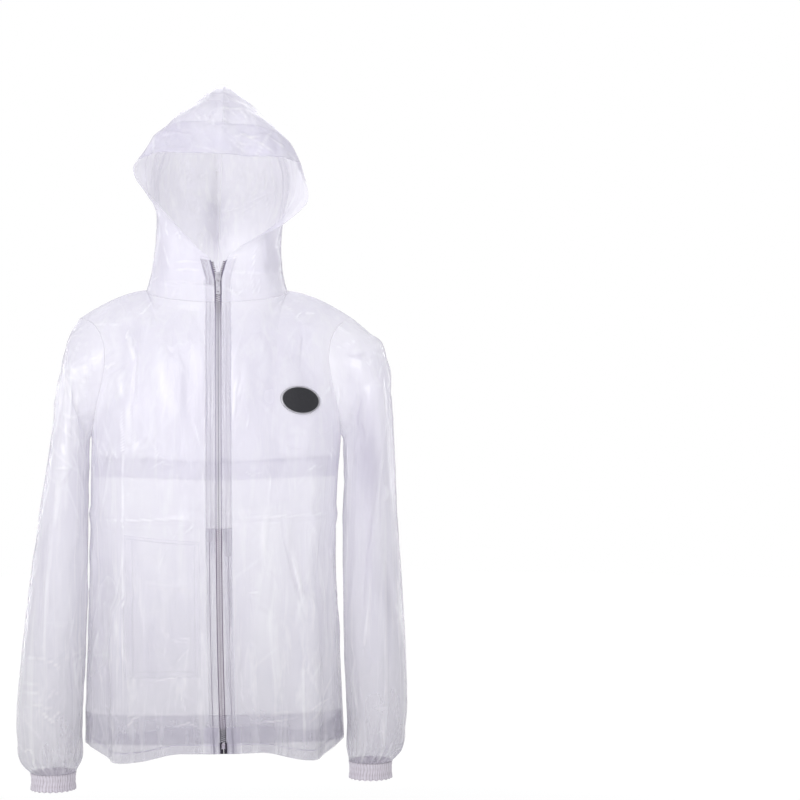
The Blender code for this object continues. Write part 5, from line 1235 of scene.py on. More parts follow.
def make_cuffs(finish):
    """Shirred elastic rings: the ring's radius follows uneven narrow gathers, drawn in along
    three rows of elastic."""
    for side in ("left", "right"):
        ring = sleeve_points(side, GRID["sleeve"][0], np.array([1.0]))[0][0]
        centre, half = (ring.max(axis=0) + ring.min(axis=0)) / 2, np.ptp(ring, axis=0)[:2] / 2
        turn = np.linspace(0, 2 * np.pi, GRID["cuff"][0], endpoint=False)
        share = np.linspace(0, 1, GRID["cuff"][1])
        turn_grid, share_grid = np.meshgrid(turn, share)
        wave = turn_grid * 24 + 0.9 * np.sin(turn_grid * 5) + 0.5 * np.sin(share_grid * 7)
        finer = turn_grid * 37 + 1.1 * np.sin(share_grid * 5)
        gather = 0.7 * np.abs(np.sin(wave)) + 0.3 * np.abs(np.sin(finer))
        rows = 0.5 - 0.5 * np.cos(share_grid * 2 * np.pi * 3)
        out = -0.0016 + 0.0014 * (2 * share_grid - 1) ** 2
        out = out + 0.0012 * gather * (0.70 + 0.30 * rows)
        z = ring[:, 2].mean() - SEAM_GAP - CUFF_HEIGHT * (1 - share_grid)
        z = z + 0.0007 * np.sin(turn_grid * 24) * (1 - share_grid)
        grid = np.stack([
            centre[0] + (half[0] + out) * np.cos(turn_grid),
            centre[1] + (half[1] + out) * np.sin(turn_grid), z], axis=-1)
        away = outward(grid, wrap=True)
        sheet_piece(f"elastic_cuff_{side}", (grid, grid - unit(away * (1, 1, 0)) * CUFF_WALL), away,
                    {"gather": gather * (0.75 + 0.25 * rows)}, finish, [f"cuff_{side}"], grid,
                    wrap=True,
                    lengths=np.stack([turn_grid * 0.04, share_grid * CUFF_HEIGHT], axis=-1))


def hood_form(side, around, up):
    """Half the hood's outer face with its creases, its outward directions and its tone."""
    base = hood_points(side, around, up)
    if around[-1] == 1:
        # the back of the head is rounded, so that the two halves run into each other
        slope = np.diff(base[:, -2:, 1])[:, 0] / np.diff(base[:, -2:, 0])[:, 0]
        slope = slope * np.sign(base[:, -2, 0]) * (1 - ramp(up, 0.70, 0.90))
        side_ways = np.abs(base[..., 0])
        base[..., 1] += HOOD_ROUNDED * slope[:, None] * np.exp(-side_ways / HOOD_ROUNDED)
        base[..., 0] -= np.sign(base[..., 0]) * SEAM_GAP / 2 * np.exp(-side_ways / 0.004)
    away = outward(base)
    around, up = np.meshgrid(around, up)
    flat = np.stack([SIGN[side] * (1 - around) * HOOD_ROUND, up * HOOD_HEIGHT], axis=-1)
    ease = eased(up * HOOD_HEIGHT) * eased((1 - up) * HOOD_HEIGHT, 0.012)
    ease = ease * eased((1 - around) * HOOD_ROUND, 0.012)
    beside = eased(around * HOOD_ROUND) + (1 - eased(around * HOOD_ROUND)) * ramp(up, 0.2, 0.3)
    # crumpled at the crown and at the collar, smooth down the back of the head
    crisp = 1.9 - 1.6 * ramp(around, 0.30, 0.50) * (1 - ramp(up, 0.80, 0.90))
    points, shading_and_doubling = textured(base, away, flat, ("hood", "lining", "hood_back"), SEED["hood"],
                            ease * beside, crisp=crisp)
    return points, away, shading_and_doubling


def make_hood(wall, finish):
    """The hood's two halves, welded along the centre and to the neck."""
    for side in ("left", "right"):
        around = places(0, 1, GRID["hood"][0], at_rims(HOOD_ROUND))
        up = places(0, 1, GRID["hood"][1], [*at_rims(HOOD_HEIGHT), 0.2])
        points, away, shading_and_doubling = hood_form(side, around, up)
        a, u = np.meshgrid(around, up)
        weld = np.maximum.reduce([
            0.2 * rim_mark(u * HOOD_HEIGHT), 0.5 * rim_mark(a * HOOD_ROUND),
        ])
        base = hood_points(side, around, up)
        clear = over_tape(base) * (1 - ramp(u, 0.2, 0.22))
        sheet_piece(f"hood_film_{side}", layer_of(points, away, -wall, 0), away,
                    {"shading_and_doubling": shading_and_doubling, "weld": weld, "clear": clear}, finish, [f"hood_{side}"], base)


def make_brim(wall, finish):
    """The doubled brim over the forehead, from one temple over the centre to the other."""
    depth = np.array(at_rims(BRIM_SEAM * HOOD_ROUND))
    around = places(0, BRIM_SEAM, GRID["brim"][0], depth * BRIM_SEAM)
    half = places(BRIM_END, 1, GRID["brim"][1])
    right, away_right, shading_and_doubling_right = hood_form("right", around, half)
    left, away_left, shading_and_doubling_left = hood_form("left", around, half[::-1])
    points = np.concatenate([right, left[1:]])
    away = np.concatenate([away_right, away_left[1:]])
    shading_and_doubling = np.concatenate([shading_and_doubling_right, shading_and_doubling_left[1:]])
    a, u = np.meshgrid(around, np.concatenate([half, half[::-1][1:]]))
    weld = np.maximum.reduce([
        0.8 * rim_mark(a * HOOD_ROUND), rim_mark((BRIM_SEAM - a) * HOOD_ROUND),
        weld_mark((u - BRIM_END) * HOOD_HEIGHT),
    ])
    flat = np.concatenate([hood_points("right", around, half),
                           hood_points("left", around, half[::-1])[1:]])
    sheet_piece("brim_film", layer_of(points, away, LAYER_GAP, LAYER_GAP + wall), away,
                {"shading_and_doubling": shading_and_doubling, "weld": weld}, finish, ["hood_brim"], flat)


# ---------------------------------------------------------------- zip
def zip_strip(side, offsets):
    """Lines at these distances from the film's edge, below zero towards the teeth, from the hem
    up the front and on beside the hood: each row of the forms is read at those lengths."""
    offsets = np.asarray(offsets, float)
    near = np.linspace(0, 0.16, 60)
    dense = np.concatenate([body_points(side, "front", near, np.linspace(0, 1, 210)),
                            hood_points(side, near, np.linspace(0.012, 0.2, 18))])
    reach = lengths_along(dense, 1)
    wanted = np.clip(offsets, 0, None)
    column = np.clip((reach[:, None] <= wanted[:, None]).sum(axis=-1) - 1, 0, 58)
    low, high = (np.take_along_axis(reach, column + step, axis=1) for step in (0, 1))
    share = ((wanted - low) / (high - low))[..., None]
    row = np.arange(len(dense))[:, None]
    strip = dense[row, column] * (1 - share) + dense[row, column + 1] * share
    shift = np.minimum(offsets, 0) * SIGN[side]
    return strip + shift[:, None] * np.array([1.0, 0.0, 0.0])


def make_zip_tapes(finish):
    """A woven tape behind each film edge, a little thicker in a bead beside the teeth."""
    for side in ("left", "right"):
        inner, outer = TAPE_INNER - FILM_TO_ZIP_CENTRE, TAPE_OUTER - FILM_TO_ZIP_CENTRE
        offsets = np.concatenate([np.linspace(inner, inner + 0.002, 7)[:-1],
                                  np.linspace(inner + 0.002, outer, 15)])
        strip = zip_strip(side, offsets) + (0, TAPE_SET_BACK, 0)
        bead = 0.0005 * hump((offsets - inner - 0.0009) / 0.0009)
        front = strip - bead[:, None] * (0, 1, 0)
        back = strip + (bead[:, None] + TAPE_WALL) * (0, 1, 0)
        across, up = np.broadcast_to(offsets - inner, strip.shape[:2]), lengths_along(strip, 0)
        # below the last teeth the two tapes meet
        meet = (TAPE_INNER - SEAM_GAP) * (1 - ramp(up, 0.0145, 0.0165))
        meet = meet * (1 - ramp(across, 0.0, 0.004)) * SIGN[side]
        front[..., 0] -= meet
        back[..., 0] -= meet
        sheet_piece(f"tape_{side}", (front, back), (0, -1, 0), None, finish, [f"zip_tape_{side}"],
                    strip,
                    lengths=np.stack([across, up], axis=-1))


def tooth():
    """One moulded tooth along x: rings of eight points, narrow at both ends, with a waist behind
    its head, as vertices and faces. It is one unit long, wide and thick."""
    turn = np.linspace(0, 2 * np.pi, 8, endpoint=False) + np.pi / 8
    reach = np.array([(-0.5, 0.62), (-0.42, 0.98), (-0.10, 1.0), (0.16, 0.72), (0.34, 0.95),
                      (0.50, 0.60)])
    rings = np.stack([
        np.repeat(reach[:, :1], 8, axis=1), reach[:, 1:] * np.cos(turn) * 0.54,
        reach[:, 1:] * np.sin(turn) * 0.54,
    ], axis=-1)
    body = lathe_faces(len(reach), 8)
    first, last = np.arange(8), np.arange(8) + 8 * (len(reach) - 1)
    caps = [first[[(3, 2, 1, 0), (3, 0, 7, 4), (4, 7, 6, 5)]],
            last[[(0, 1, 2, 3), (4, 7, 0, 3), (5, 6, 7, 4)]]]
    return rings.reshape(-1, 3), np.concatenate([body, *caps])


def make_zip_teeth(pitch, finish):
    """Both rows of teeth, copies of one tooth at even lengths along each row's line, set across
    its direction. The rows stand half a pitch apart, and their heads pass each other."""
    shape, faces = tooth()
    for side in ("left", "right"):
        sign = SIGN[side]
        middle = SEAM_GAP / 2 - FILM_TO_ZIP_CENTRE + TOOTH_MIDDLE
        line = zip_strip(side, [middle])[:, 0] + (0, TEETH_SET_BACK, 0)
        length = np.concatenate([[0], np.linalg.norm(np.diff(line, axis=0), axis=1).cumsum()])
        start = TEETH_END_ABOVE_HEM + (pitch / 2 if side == "left" else 0) + 0.001
        at = np.arange(start, length[-1] - 0.002, pitch)
        spots = np.stack([np.interp(at, length, line[:, i]) for i in range(3)], axis=1)
        ahead = np.stack([np.interp(at + 0.001, length, line[:, i]) for i in range(3)], axis=1)
        up = unit(ahead - spots)
        across = unit(np.cross(np.cross(up, [1.0, 0.0, 0.0]), up)) * sign
        across = across * np.sign((across * (sign, 0, 0)).sum(axis=1, keepdims=True))
        out = np.cross(across, up)
        local = shape * (-1, 1, 1) * TOOTH_SIZE
        head = np.tile(ramp(shape[:, 0], 0.10, 0.36), len(at))
        points = (spots[:, None] + local[:, :1] * across[:, None] + local[:, 1:2] * up[:, None]
                  + local[:, 2:] * out[:, None])
        all_faces = (faces + np.arange(len(at))[:, None, None] * len(shape)).reshape(-1, 4)
        # the mirrored tooth on a left-handed set of axes needs its faces one way or the other
        if np.linalg.det(np.stack([across[0] * -1, up[0], out[0]])) < 0:
            all_faces = all_faces[:, ::-1]
        mesh = new_mesh(f"teeth_{side}", points.reshape(-1, 3), all_faces)
        mark_points(mesh, "head", head)
        show(f"teeth_{side}", mesh, finish, [f"zip_teeth_{side}"])


def make_badge(finish):
    """A plain oval patch: a flat face inside a narrow raised rim, laid on the left chest."""
    turn = np.linspace(0, 2 * np.pi, 96, endpoint=False)
    profile = np.array([
        (0.0, 0.0010), (0.25, 0.0010), (0.5, 0.0010), (0.75, 0.0010), (0.90, 0.0010),
        (0.93, 0.0012), (0.955, 0.0015), (0.985, 0.0014), (1.0, 0.0009), (1.0, 0.0),
        (0.75, 0.0), (0.4, 0.0), (0.0, 0.0),
    ])
    share = np.maximum(profile[:, :1], 0.002)
    flat = np.stack([share * np.cos(turn), share * np.sin(turn)], axis=-1) * BADGE_HALF
    tilt = np.cos(BADGE_TILT), np.sin(BADGE_TILT)
    spin = np.array([tilt, (-tilt[1], tilt[0])])
    flat = flat @ spin + BADGE_CENTRE
    across, rise = np.linspace(0.3, 0.95, 70), np.linspace(0.55, 0.95, 120)
    base = body_points("left", "front", across, rise)
    points, out = on_form(base, outward(base), flat.reshape(-1, 2))
    points = points.reshape(*flat.shape[:2], 3) + out * (BADGE_LIFT + profile[:, 1, None, None])
    mesh = new_mesh("badge_patch", points.reshape(-1, 3), lathe_faces(len(profile), 96)[:, ::-1])
    mark_points(mesh, "rim", np.repeat((profile[:, 0] > 0.91) & (profile[:, 1] > 0), 96))
    show("badge_patch", mesh, finish, ["chest_badge"])


# ---------------------------------------------------------------- finishes
WHITE = (1.0, 1.0, 1.0, 1.0)


class Finish:
    """A material's node tree, with short calls for the nodes that the finishes use."""

    def __init__(self, name):
        self.material = bpy.data.materials.new(name)
        self.material.use_nodes = True
        self.tree = self.material.node_tree
        self.shader = self.tree.nodes["Principled BSDF"]

    def feed(self, node, inputs):
        """Each input, by its name or, as _0, its number, gets a value or another's output."""
        for key, value in inputs.items():
            socket = node.inputs[int(key[1:]) if key[0] == "_" else key.replace("_", " ")]
            if isinstance(value, bpy.types.NodeSocket):
                self.tree.links.new(value, socket)
            else:
                socket.default_value = value
        return node

    def add(self, kind, settings=None, **inputs):
        """A node with some settings and inputs."""
        made = self.tree.nodes.new(kind)
        for key, value in (settings or {}).items():
            setattr(made, key, value)
        return self.feed(made, inputs)

    def maths(self, operation, *values, clamp=False):
        inputs = {f"_{i}": value for i, value in enumerate(values)}
        settings = {"operation": operation, "use_clamp": clamp}
        return self.add("ShaderNodeMath", settings, **inputs).outputs[0]

    def spread(self, value, low, high, to_low=0.0, to_high=1.0):
        """value from low to high, mapped to to_low to to_high, and held at both ends."""
        return self.add("ShaderNodeMapRange", Value=value, From_Min=low, From_Max=high,
                        To_Min=to_low, To_Max=to_high).outputs[0]

    def mix(self, share, first, second):
        return self.add("ShaderNodeMix", {"data_type": "RGBA"}, _0=share, _6=first,
                        _7=second).outputs[2]

    def place(self, scale=(1, 1, 1)):
        spot = self.add("ShaderNodeTexCoord").outputs["Object"]
        return self.add("ShaderNodeMapping", Vector=spot, Scale=scale).outputs[0]

    def noise(self, vector, scale, detail=2.0, roughness=0.5, distortion=0.0):
        return self.add("ShaderNodeTexNoise", Vector=vector, Scale=scale, Detail=detail,
                        Roughness=roughness, Distortion=distortion).outputs["Fac"]

    def painted_shade_downwards(self):
        """0 down to the chest, then rising faster and faster to 1 at the hem: the share of painted
        shade that darkens the film towards the hem.
        """
        height = self.add("ShaderNodeSeparateXYZ", Vector=self.place()).outputs[2]
        return self.maths("POWER", self.spread(height, -0.14, -0.70), 1.7)

    def mark(self, name):
        return self.add("ShaderNodeAttribute", {"attribute_name": name}).outputs["Fac"]

    def bump(self, height, strength, distance):
        return self.add("ShaderNodeBump", Height=height, Strength=strength,
                        Distance=distance).outputs[0]

    def set(self, **inputs):
        self.feed(self.shader, inputs)
        return self.material


def shade(colour, times=1.0):
    return (colour[0] * times, colour[1] * times, colour[2] * times, 1.0)


def film_finish(name, settings, stretch=(1, 1, 1), share=1.0):
    """Clear film's outer face: a milky lilac that hides about half, more where it is creased,
    welded or seen at a slant. It is painted darker towards the hem as shade. The creases' painted
    highlights turn it white and their painted shade turns it dark, and its bump is a satin of soft
    streaks, which also lighten it as a painted sheen."""
    f = Finish(name)
    patches = f.noise(f.place((stretch[0], stretch[1], stretch[2] * 0.6)), 7.0, 2.5)
    fine = stretch[0] * 1.8, stretch[1] * 1.8, stretch[2] * 0.28
    streaks = f.noise(f.place(fine), 38.0, 3.0, 0.62, 0.5)
    bump = f.bump(streaks, 0.35, 0.004)
    shading_and_doubling, weld, clear = f.mark("shading_and_doubling"), f.mark("weld"), f.mark("clear")
    lighter, darker = f.spread(shading_and_doubling, 0.0, 1.0), f.spread(shading_and_doubling, 0.0, -1.0)
    # painted shade: the film's colour darkens towards the hem
    colour = f.mix(f.painted_shade_downwards(), shade(settings.colour), shade(settings.painted_hem_shade))
    colour = f.mix(f.spread(patches, 0.50, 0.72, 0.0, 0.30), colour, WHITE)
    colour = f.mix(f.spread(patches, 0.48, 0.30, 0.0, 0.24), colour, shade(settings.weld_and_shade_colour))
    # painted sheen: the satin streaks lighten the colour
    colour = f.mix(f.spread(streaks, 0.50, 0.72, 0.0, 0.35), colour, WHITE)
    # painted highlights of the creases
    colour = f.mix(f.maths("MULTIPLY", lighter, 0.90), colour, WHITE)
    # painted shade of the creases, with the welds' own darker film
    dark = f.maths("ADD", f.maths("MULTIPLY", darker, 0.75), f.maths("MULTIPLY", weld, 0.45),
                   clamp=True)
    colour = f.mix(dark, colour, shade(settings.weld_and_shade_colour))
    slant = f.add("ShaderNodeLayerWeight", Blend=0.35).outputs["Facing"]
    slant = f.maths("POWER", slant, 2.2)
    cover = f.maths("MULTIPLY_ADD", f.maths("ABSOLUTE", shading_and_doubling), 0.28, settings.cover * share)
    cover = f.maths("MULTIPLY_ADD", weld, 0.16, cover)
    cover = f.maths("MULTIPLY_ADD", slant, 0.35 * share, cover, clamp=True)
    cover = f.maths("MULTIPLY", cover, f.spread(clear, 0.0, 1.0, 1.0, 0.22))
    gloss = f.spread(patches, 0.3, 0.7, settings.roughness * 1.4, settings.roughness * 0.7)
    return f.set(Base_Color=colour, Alpha=cover, Roughness=gloss, Normal=bump, IOR=1.53,
                 Specular_IOR_Level=settings.gloss)


def film_inside_finish(name, settings, share=1.0):
    """The film's inner face, which adds a little to what the outer one hides, and more at its
    creases, where painted highlights turn it white and painted shade turns it dark here too. It is
    painted darker towards the hem as shade, and its streaks lighten it as a painted sheen."""
    f = Finish(name)
    shading_and_doubling = f.mark("shading_and_doubling")
    # painted shade: the film's colour darkens towards the hem
    colour = f.mix(f.painted_shade_downwards(), shade(settings.colour, 0.98), shade(settings.painted_hem_shade))
    # painted highlights and painted shade of the creases
    colour = f.mix(f.spread(shading_and_doubling, 0.0, 1.0, 0.0, 0.9), colour, WHITE)
    colour = f.mix(f.spread(shading_and_doubling, 0.0, -1.0, 0.0, 0.7), colour, shade(settings.weld_and_shade_colour))
    streaks = f.noise(f.place((1.8, 1.8, 0.28)), 45.0, 3.0, 0.62, 0.5)
    # painted sheen: the streaks lighten the colour
    colour = f.mix(f.spread(streaks, 0.50, 0.72, 0.0, 0.6), colour, WHITE)
    cover = f.maths("MULTIPLY_ADD", f.maths("ABSOLUTE", shading_and_doubling), 0.28, settings.inner_cover * share,
                    clamp=True)
    return f.set(Base_Color=colour, Alpha=cover, Roughness=0.25, IOR=1.53, Specular_IOR_Level=0.3,
                 Normal=f.bump(streaks, 0.3, 0.004))


def stud_finish():
    """Clear moulded plastic, a little grey in its thick rim."""
    f = Finish("stud_plastic")
    slant = f.add("ShaderNodeLayerWeight", Blend=0.4).outputs["Facing"]
    grain = f.noise(f.place(), 420.0, 2.0)
    colour = f.mix(slant, (0.80, 0.79, 0.86, 1), (0.30, 0.28, 0.36, 1))
    return f.set(Base_Color=colour, Alpha=f.spread(slant, 0.0, 0.8, 0.45, 0.95), Roughness=0.16,
                 Normal=f.bump(grain, 0.08, 0.0003), IOR=1.5)


def zip_heights(f):
    """Shares of the zip's darker stretches: the two parted arms above the slider, all below the
    waist, a band just under it, and the end inside the hem."""
    height = f.add("ShaderNodeSeparateXYZ", Vector=f.place()).outputs[2]
    low = f.spread(height, -0.345, -0.349)
    return (f.spread(height, -0.075, -0.010), low,
            f.maths("MULTIPLY", low, f.spread(height, -0.400, -0.350)),
            f.spread(height, -0.633, -0.639))


def tape_finish():
    """Clear ribbed tape: a dark bead beside the teeth, two thin dark lines and fine ribs along
    it. The lines are faint down to the waist, dark purple below it and nearly black at the hem."""
    f = Finish("zip_tape_ribbed")
    uv = f.add("ShaderNodeUVMap", {"uv_map": "lengths"}).outputs[0]
    across, up = f.add("ShaderNodeSeparateXYZ", Vector=uv).outputs[:2]
    arms, low, under, hem = zip_heights(f)
    aside = f.add("ShaderNodeSeparateXYZ", Vector=f.place()).outputs[0]
    sides = f.spread(aside, 0.0, 0.004)

    def line(middle, half):
        away = f.maths("ABSOLUTE", f.maths("SUBTRACT", across, middle))
        return f.spread(away, half * 0.5, half, 1.0, 0.0)

    ribs = f.add("ShaderNodeMapping", Vector=uv, Scale=(1, 0.012, 1)).outputs[0]
    ribs = f.spread(f.noise(ribs, 900.0, 2.0, 0.6), 0.35, 0.70)
    bead = f.spread(across, 0.0007, f.maths("MULTIPLY_ADD", arms, 0.0014, 0.0013), 1.0, 0.0)
    bead = f.maths("MULTIPLY", bead, f.maths("MAXIMUM", f.maths("MAXIMUM", arms, low), 0.55))
    upper = f.maths("MULTIPLY", f.maths("MAXIMUM", line(0.0084, 0.0005), line(0.0140, 0.0006)),
                    f.maths("SUBTRACT", 0.40, f.maths("MULTIPLY", low, 0.30)))
    lower = f.maths("MULTIPLY", line(0.0104, 0.0006),
                    f.maths("MULTIPLY", low, f.spread(sides, 0, 1, 0.95, 0.55)))
    lines = f.maths("MAXIMUM", bead, f.maths("MAXIMUM", upper, lower))
    lines = f.maths("MAXIMUM", lines, f.maths("MULTIPLY", line(0.0104, 0.0016), hem))
    end = f.maths("MULTIPLY", f.spread(across, 0.0025, 0.0045, 1.0, 0.0),
                  f.spread(up, 0.0160, 0.0172, 1.0, 0.0))
    lines = f.maths("MAXIMUM", lines, end)
    ink = f.mix(low, (0.16, 0.13, 0.22, 1), (0.07, 0.035, 0.09, 1))
    ink = f.mix(hem, ink, (0.012, 0.006, 0.02, 1))
    grey = f.mix(ribs, (0.30, 0.28, 0.36, 1), (0.72, 0.70, 0.78, 1))
    cover = f.maths("MULTIPLY_ADD", ribs, -0.16, 0.24)
    shadow = f.maths("MULTIPLY", f.maths("MULTIPLY", low, sides),
                     f.spread(across, 0.0035, 0.0050, 0.0, 0.14))
    cover = f.maths("MULTIPLY_ADD", under, 0.34, f.maths("ADD", shadow, cover))
    cover = f.maths("ADD", cover, f.maths("MULTIPLY", lines, 0.80), clamp=True)
    return f.set(Base_Color=f.mix(lines, grey, ink), Alpha=cover, Roughness=0.35,
                 Normal=f.bump(ribs, 0.4, 0.0004), Specular_IOR_Level=0.4)


def teeth_finish():
    """Moulded pale plastic, see-through at its edges, with a dark line where the heads meet."""
    f = Finish("zip_teeth_plastic")
    arms, low, under, hem = zip_heights(f)
    head = f.mark("head")
    pale_specks = f.spread(f.noise(f.place(), 700.0, 2.0), 0.40, 0.75)
    colour = f.mix(low, (0.66, 0.63, 0.72, 1), (0.30, 0.22, 0.33, 1))
    # lighter in small random specks
    colour = f.mix(f.maths("MULTIPLY", pale_specks, 0.35), colour, (0.85, 0.83, 0.90, 1))
    ink = f.mix(f.maths("MAXIMUM", low, arms), (0.05, 0.04, 0.075, 1), (0.045, 0.018, 0.055, 1))
    colour = f.mix(f.maths("MAXIMUM", head, arms), colour, ink)
    colour = f.mix(hem, colour, (0.012, 0.006, 0.02, 1))
    cover = f.maths("MULTIPLY_ADD", head, 0.45, 0.50)
    cover = f.maths("ADD", cover, f.maths("ADD", arms, hem), clamp=True)
    return f.set(Base_Color=colour, Alpha=cover, Roughness=0.30, Normal=f.bump(pale_specks, 0.15, 0.0002))


def metal_finish(name, bright, dull):
    """Plated metal, dulled a little in soft spots."""
    f = Finish(name)
    spots = f.noise(f.place(), 160.0, 2.0)
    colour = f.mix(f.spread(spots, 0.4, 0.75), bright, dull)
    return f.set(Base_Color=colour, Metallic=1.0, Roughness=f.spread(spots, 0.3, 0.8, 0.28, 0.42))


def elastic_finish():
    """Shirred elastic: pale film drawn together, brown-grey between its gathers, partly the
    elastic's own colour and partly painted shade in the hollows.
    """
    f = Finish("cuff_shirring")
    gather = f.mark("gather")
    uv = f.add("ShaderNodeUVMap", {"uv_map": "lengths"}).outputs[0]
    streaks = f.add("ShaderNodeMapping", Vector=uv, Scale=(1, 0.10, 1)).outputs[0]
    fine = f.noise(streaks, 900.0, 3.0, 0.7)
    # partly painted shade: darker in the hollows between the gathers, partly the elastic's own
    # brown-grey
    colour = f.mix(f.spread(gather, 0.05, 0.75), (0.27, 0.22, 0.25, 1), (0.55, 0.51, 0.58, 1))
    colour = f.mix(f.spread(fine, 0.35, 0.75, 0.0, 0.5), colour, (0.84, 0.81, 0.88, 1))
    return f.set(Base_Color=colour, Roughness=0.40, Normal=f.bump(fine, 0.5, 0.0006),
                 Sheen_Weight=0.2, Sheen_Roughness=0.5)


def badge_finish():
    """Black woven patch with a thin silver rim and nothing on it."""
    f = Finish("badge_weave")
    spot = f.place()
    thread = f.add("ShaderNodeTexWave", {"wave_type": "BANDS", "bands_direction": "Z"},
                   Vector=spot, Scale=900.0, Distortion=1.0).outputs["Fac"]
    speck = f.noise(spot, 1200.0, 2.0)
    rim = f.mark("rim")
    colour = f.mix(f.spread(speck, 0.4, 0.8), (0.010, 0.010, 0.014, 1), (0.035, 0.034, 0.042, 1))
    colour = f.mix(rim, colour, (0.55, 0.54, 0.58, 1))
    return f.set(Base_Color=colour, Roughness=f.spread(rim, 0.0, 1.0, 0.55, 0.30), Metallic=rim,
                 Normal=f.bump(thread, 0.25, 0.0003))


def finish_of(name, build, *options):
    """The finish of that name, made once."""
    return bpy.data.materials.get(name) or build(*options)


# ---------------------------------------------------------------- settings, operators, panel
def sized(name, description, default, low, high):
    return bpy.props.FloatProperty(name=name, description=description, default=default, min=low,
                                   max=high, subtype="DISTANCE", unit="LENGTH", precision=5)


def coloured(name, description, default):
    return bpy.props.FloatVectorProperty(name=name, description=description, default=default,
                                         subtype="COLOR", min=0.0, max=1.0)


def shared(name, description, default, high=1.0):
    return bpy.props.FloatProperty(name=name, description=description, default=default, min=0.0,
                                   max=high, subtype="FACTOR")


class RaincoatFilm(bpy.types.PropertyGroup):
    wall: sized("Wall", "Thickness of one layer of film", 0.0005, 0.0002, 0.0012)
    colour: coloured("Colour", "The film's own milky tint", (0.85, 0.825, 0.93))
    # painted shade: the film darkens to this colour towards the hem, standing in for the light
    # falling off downwards, not for dirt
    painted_hem_shade: coloured("Hem colour", "The tint near the hem, where the film is less clean",
                         (0.44, 0.42, 0.49))
    # also the colour of the creases' painted shade
    weld_and_shade_colour: coloured("Weld colour", "Film pressed together in a weld", (0.34, 0.31, 0.42))
    cover: shared("Cover", "How much the film's outer face hides", 0.40)
    inner_cover: shared("Inner cover", "How much its inner face hides", 0.14)
    roughness: shared("Roughness", "Roughness of the film's face", 0.20)
    gloss: shared("Gloss", "Strength of the film's highlights", 0.60)


class RaincoatZip(bpy.types.PropertyGroup):
    pitch: sized("Pitch", "Distance from one tooth to the next in a row", 0.0027, 0.0015, 0.006)


class RaincoatStage(bpy.types.PropertyGroup):
    floor: sized("Floor", "How far below the neck the floor lies", 1.40, 0.8, 3.0)
    key: bpy.props.FloatProperty(name="Key light", description="Power of the large soft light",
                                 default=32.0, min=0.0, unit="POWER")
    strips: bpy.props.FloatProperty(name="Strip lights", description="Power of each narrow light",
                                    default=7.0, min=0.0, unit="POWER")
    sky: shared("Surroundings", "Brightness of the white surroundings on the coat", 0.50, 3.0)


class RaincoatOperator:
    """What the raincoat's operators have in common."""
    bl_options = {"REGISTER", "UNDO"}

    def execute(self, context):
        self.make(context.scene.raincoat_film, context.scene)
        return {"FINISHED"}


def clear_film(settings, name="clear_film_body", stretch=(1, 1, 1), share=1.0, inside=1.0):
    """The finishes of the film's outer and inner faces; share and inside are how much of their
    usual cover they have."""
    outer = finish_of(name, film_finish, name, settings, stretch, share)
    inner = name + "_inside"
    return outer, finish_of(inner, film_inside_finish, inner, settings, inside)


class OBJECT_OT_raincoat_fronts(RaincoatOperator, bpy.types.Operator):
    """Build both front panels"""
    bl_idname = "object.raincoat_fronts"
    bl_label = "Front panels"

    def make(self, film, scene):
        make_fronts(film.wall, clear_film(film))


class OBJECT_OT_raincoat_back(RaincoatOperator, bpy.types.Operator):
    """Build the back panel with its dropped tail"""
    bl_idname = "object.raincoat_back"
    bl_label = "Back panel"

    def make(self, film, scene):
        make_back(film.wall, clear_film(film, "clear_film_back", share=1.12, inside=1.0))


class OBJECT_OT_raincoat_flap(RaincoatOperator, bpy.types.Operator):
    """Build the vent flap over the upper back and its studs"""
    bl_idname = "object.raincoat_flap"
    bl_label = "Vent flap and studs"

    def make(self, film, scene):
        make_vent_flap(film.wall, clear_film(film, "clear_film_flap", share=0.9, inside=0.7),
                       finish_of("stud_plastic", stud_finish))


class OBJECT_OT_raincoat_pocket(RaincoatOperator, bpy.types.Operator):
    """Build the patch pocket on the right front"""
    bl_idname = "object.raincoat_pocket"
    bl_label = "Patch pocket"

    def make(self, film, scene):
        make_pocket(film.wall, clear_film(film, "clear_film_pocket", share=0.16, inside=0.15))


class OBJECT_OT_raincoat_hems(RaincoatOperator, bpy.types.Operator):
    """Build the hem's second layer inside the fronts and the back"""
    bl_idname = "object.raincoat_hems"
    bl_label = "Hem turnings"

    def make(self, film, scene):
        make_hem_turnings(film.wall, clear_film(film, "clear_film_hem", share=1.15, inside=1.1))


class OBJECT_OT_raincoat_sleeves(RaincoatOperator, bpy.types.Operator):
    """Build both sleeves with the gathers above their cuffs"""
    bl_idname = "object.raincoat_sleeves"
    bl_label = "Sleeves"

    def make(self, film, scene):
        make_sleeves(film.wall, clear_film(film, "clear_film_sleeve", (1, 1, 0.4)))


class OBJECT_OT_raincoat_cuffs(RaincoatOperator, bpy.types.Operator):
    """Build the shirred elastic cuffs"""
    bl_idname = "object.raincoat_cuffs"
    bl_label = "Cuffs"

    def make(self, film, scene):
        make_cuffs(finish_of("cuff_shirring", elastic_finish))


class OBJECT_OT_raincoat_hood(RaincoatOperator, bpy.types.Operator):
    """Build the hood's two halves and its doubled brim"""
    bl_idname = "object.raincoat_hood"
    bl_label = "Hood and brim"

    def make(self, film, scene):
        finish = clear_film(film, "clear_film_hood", share=0.9, inside=2.8)
        make_hood(film.wall, finish)
        make_brim(film.wall, finish)


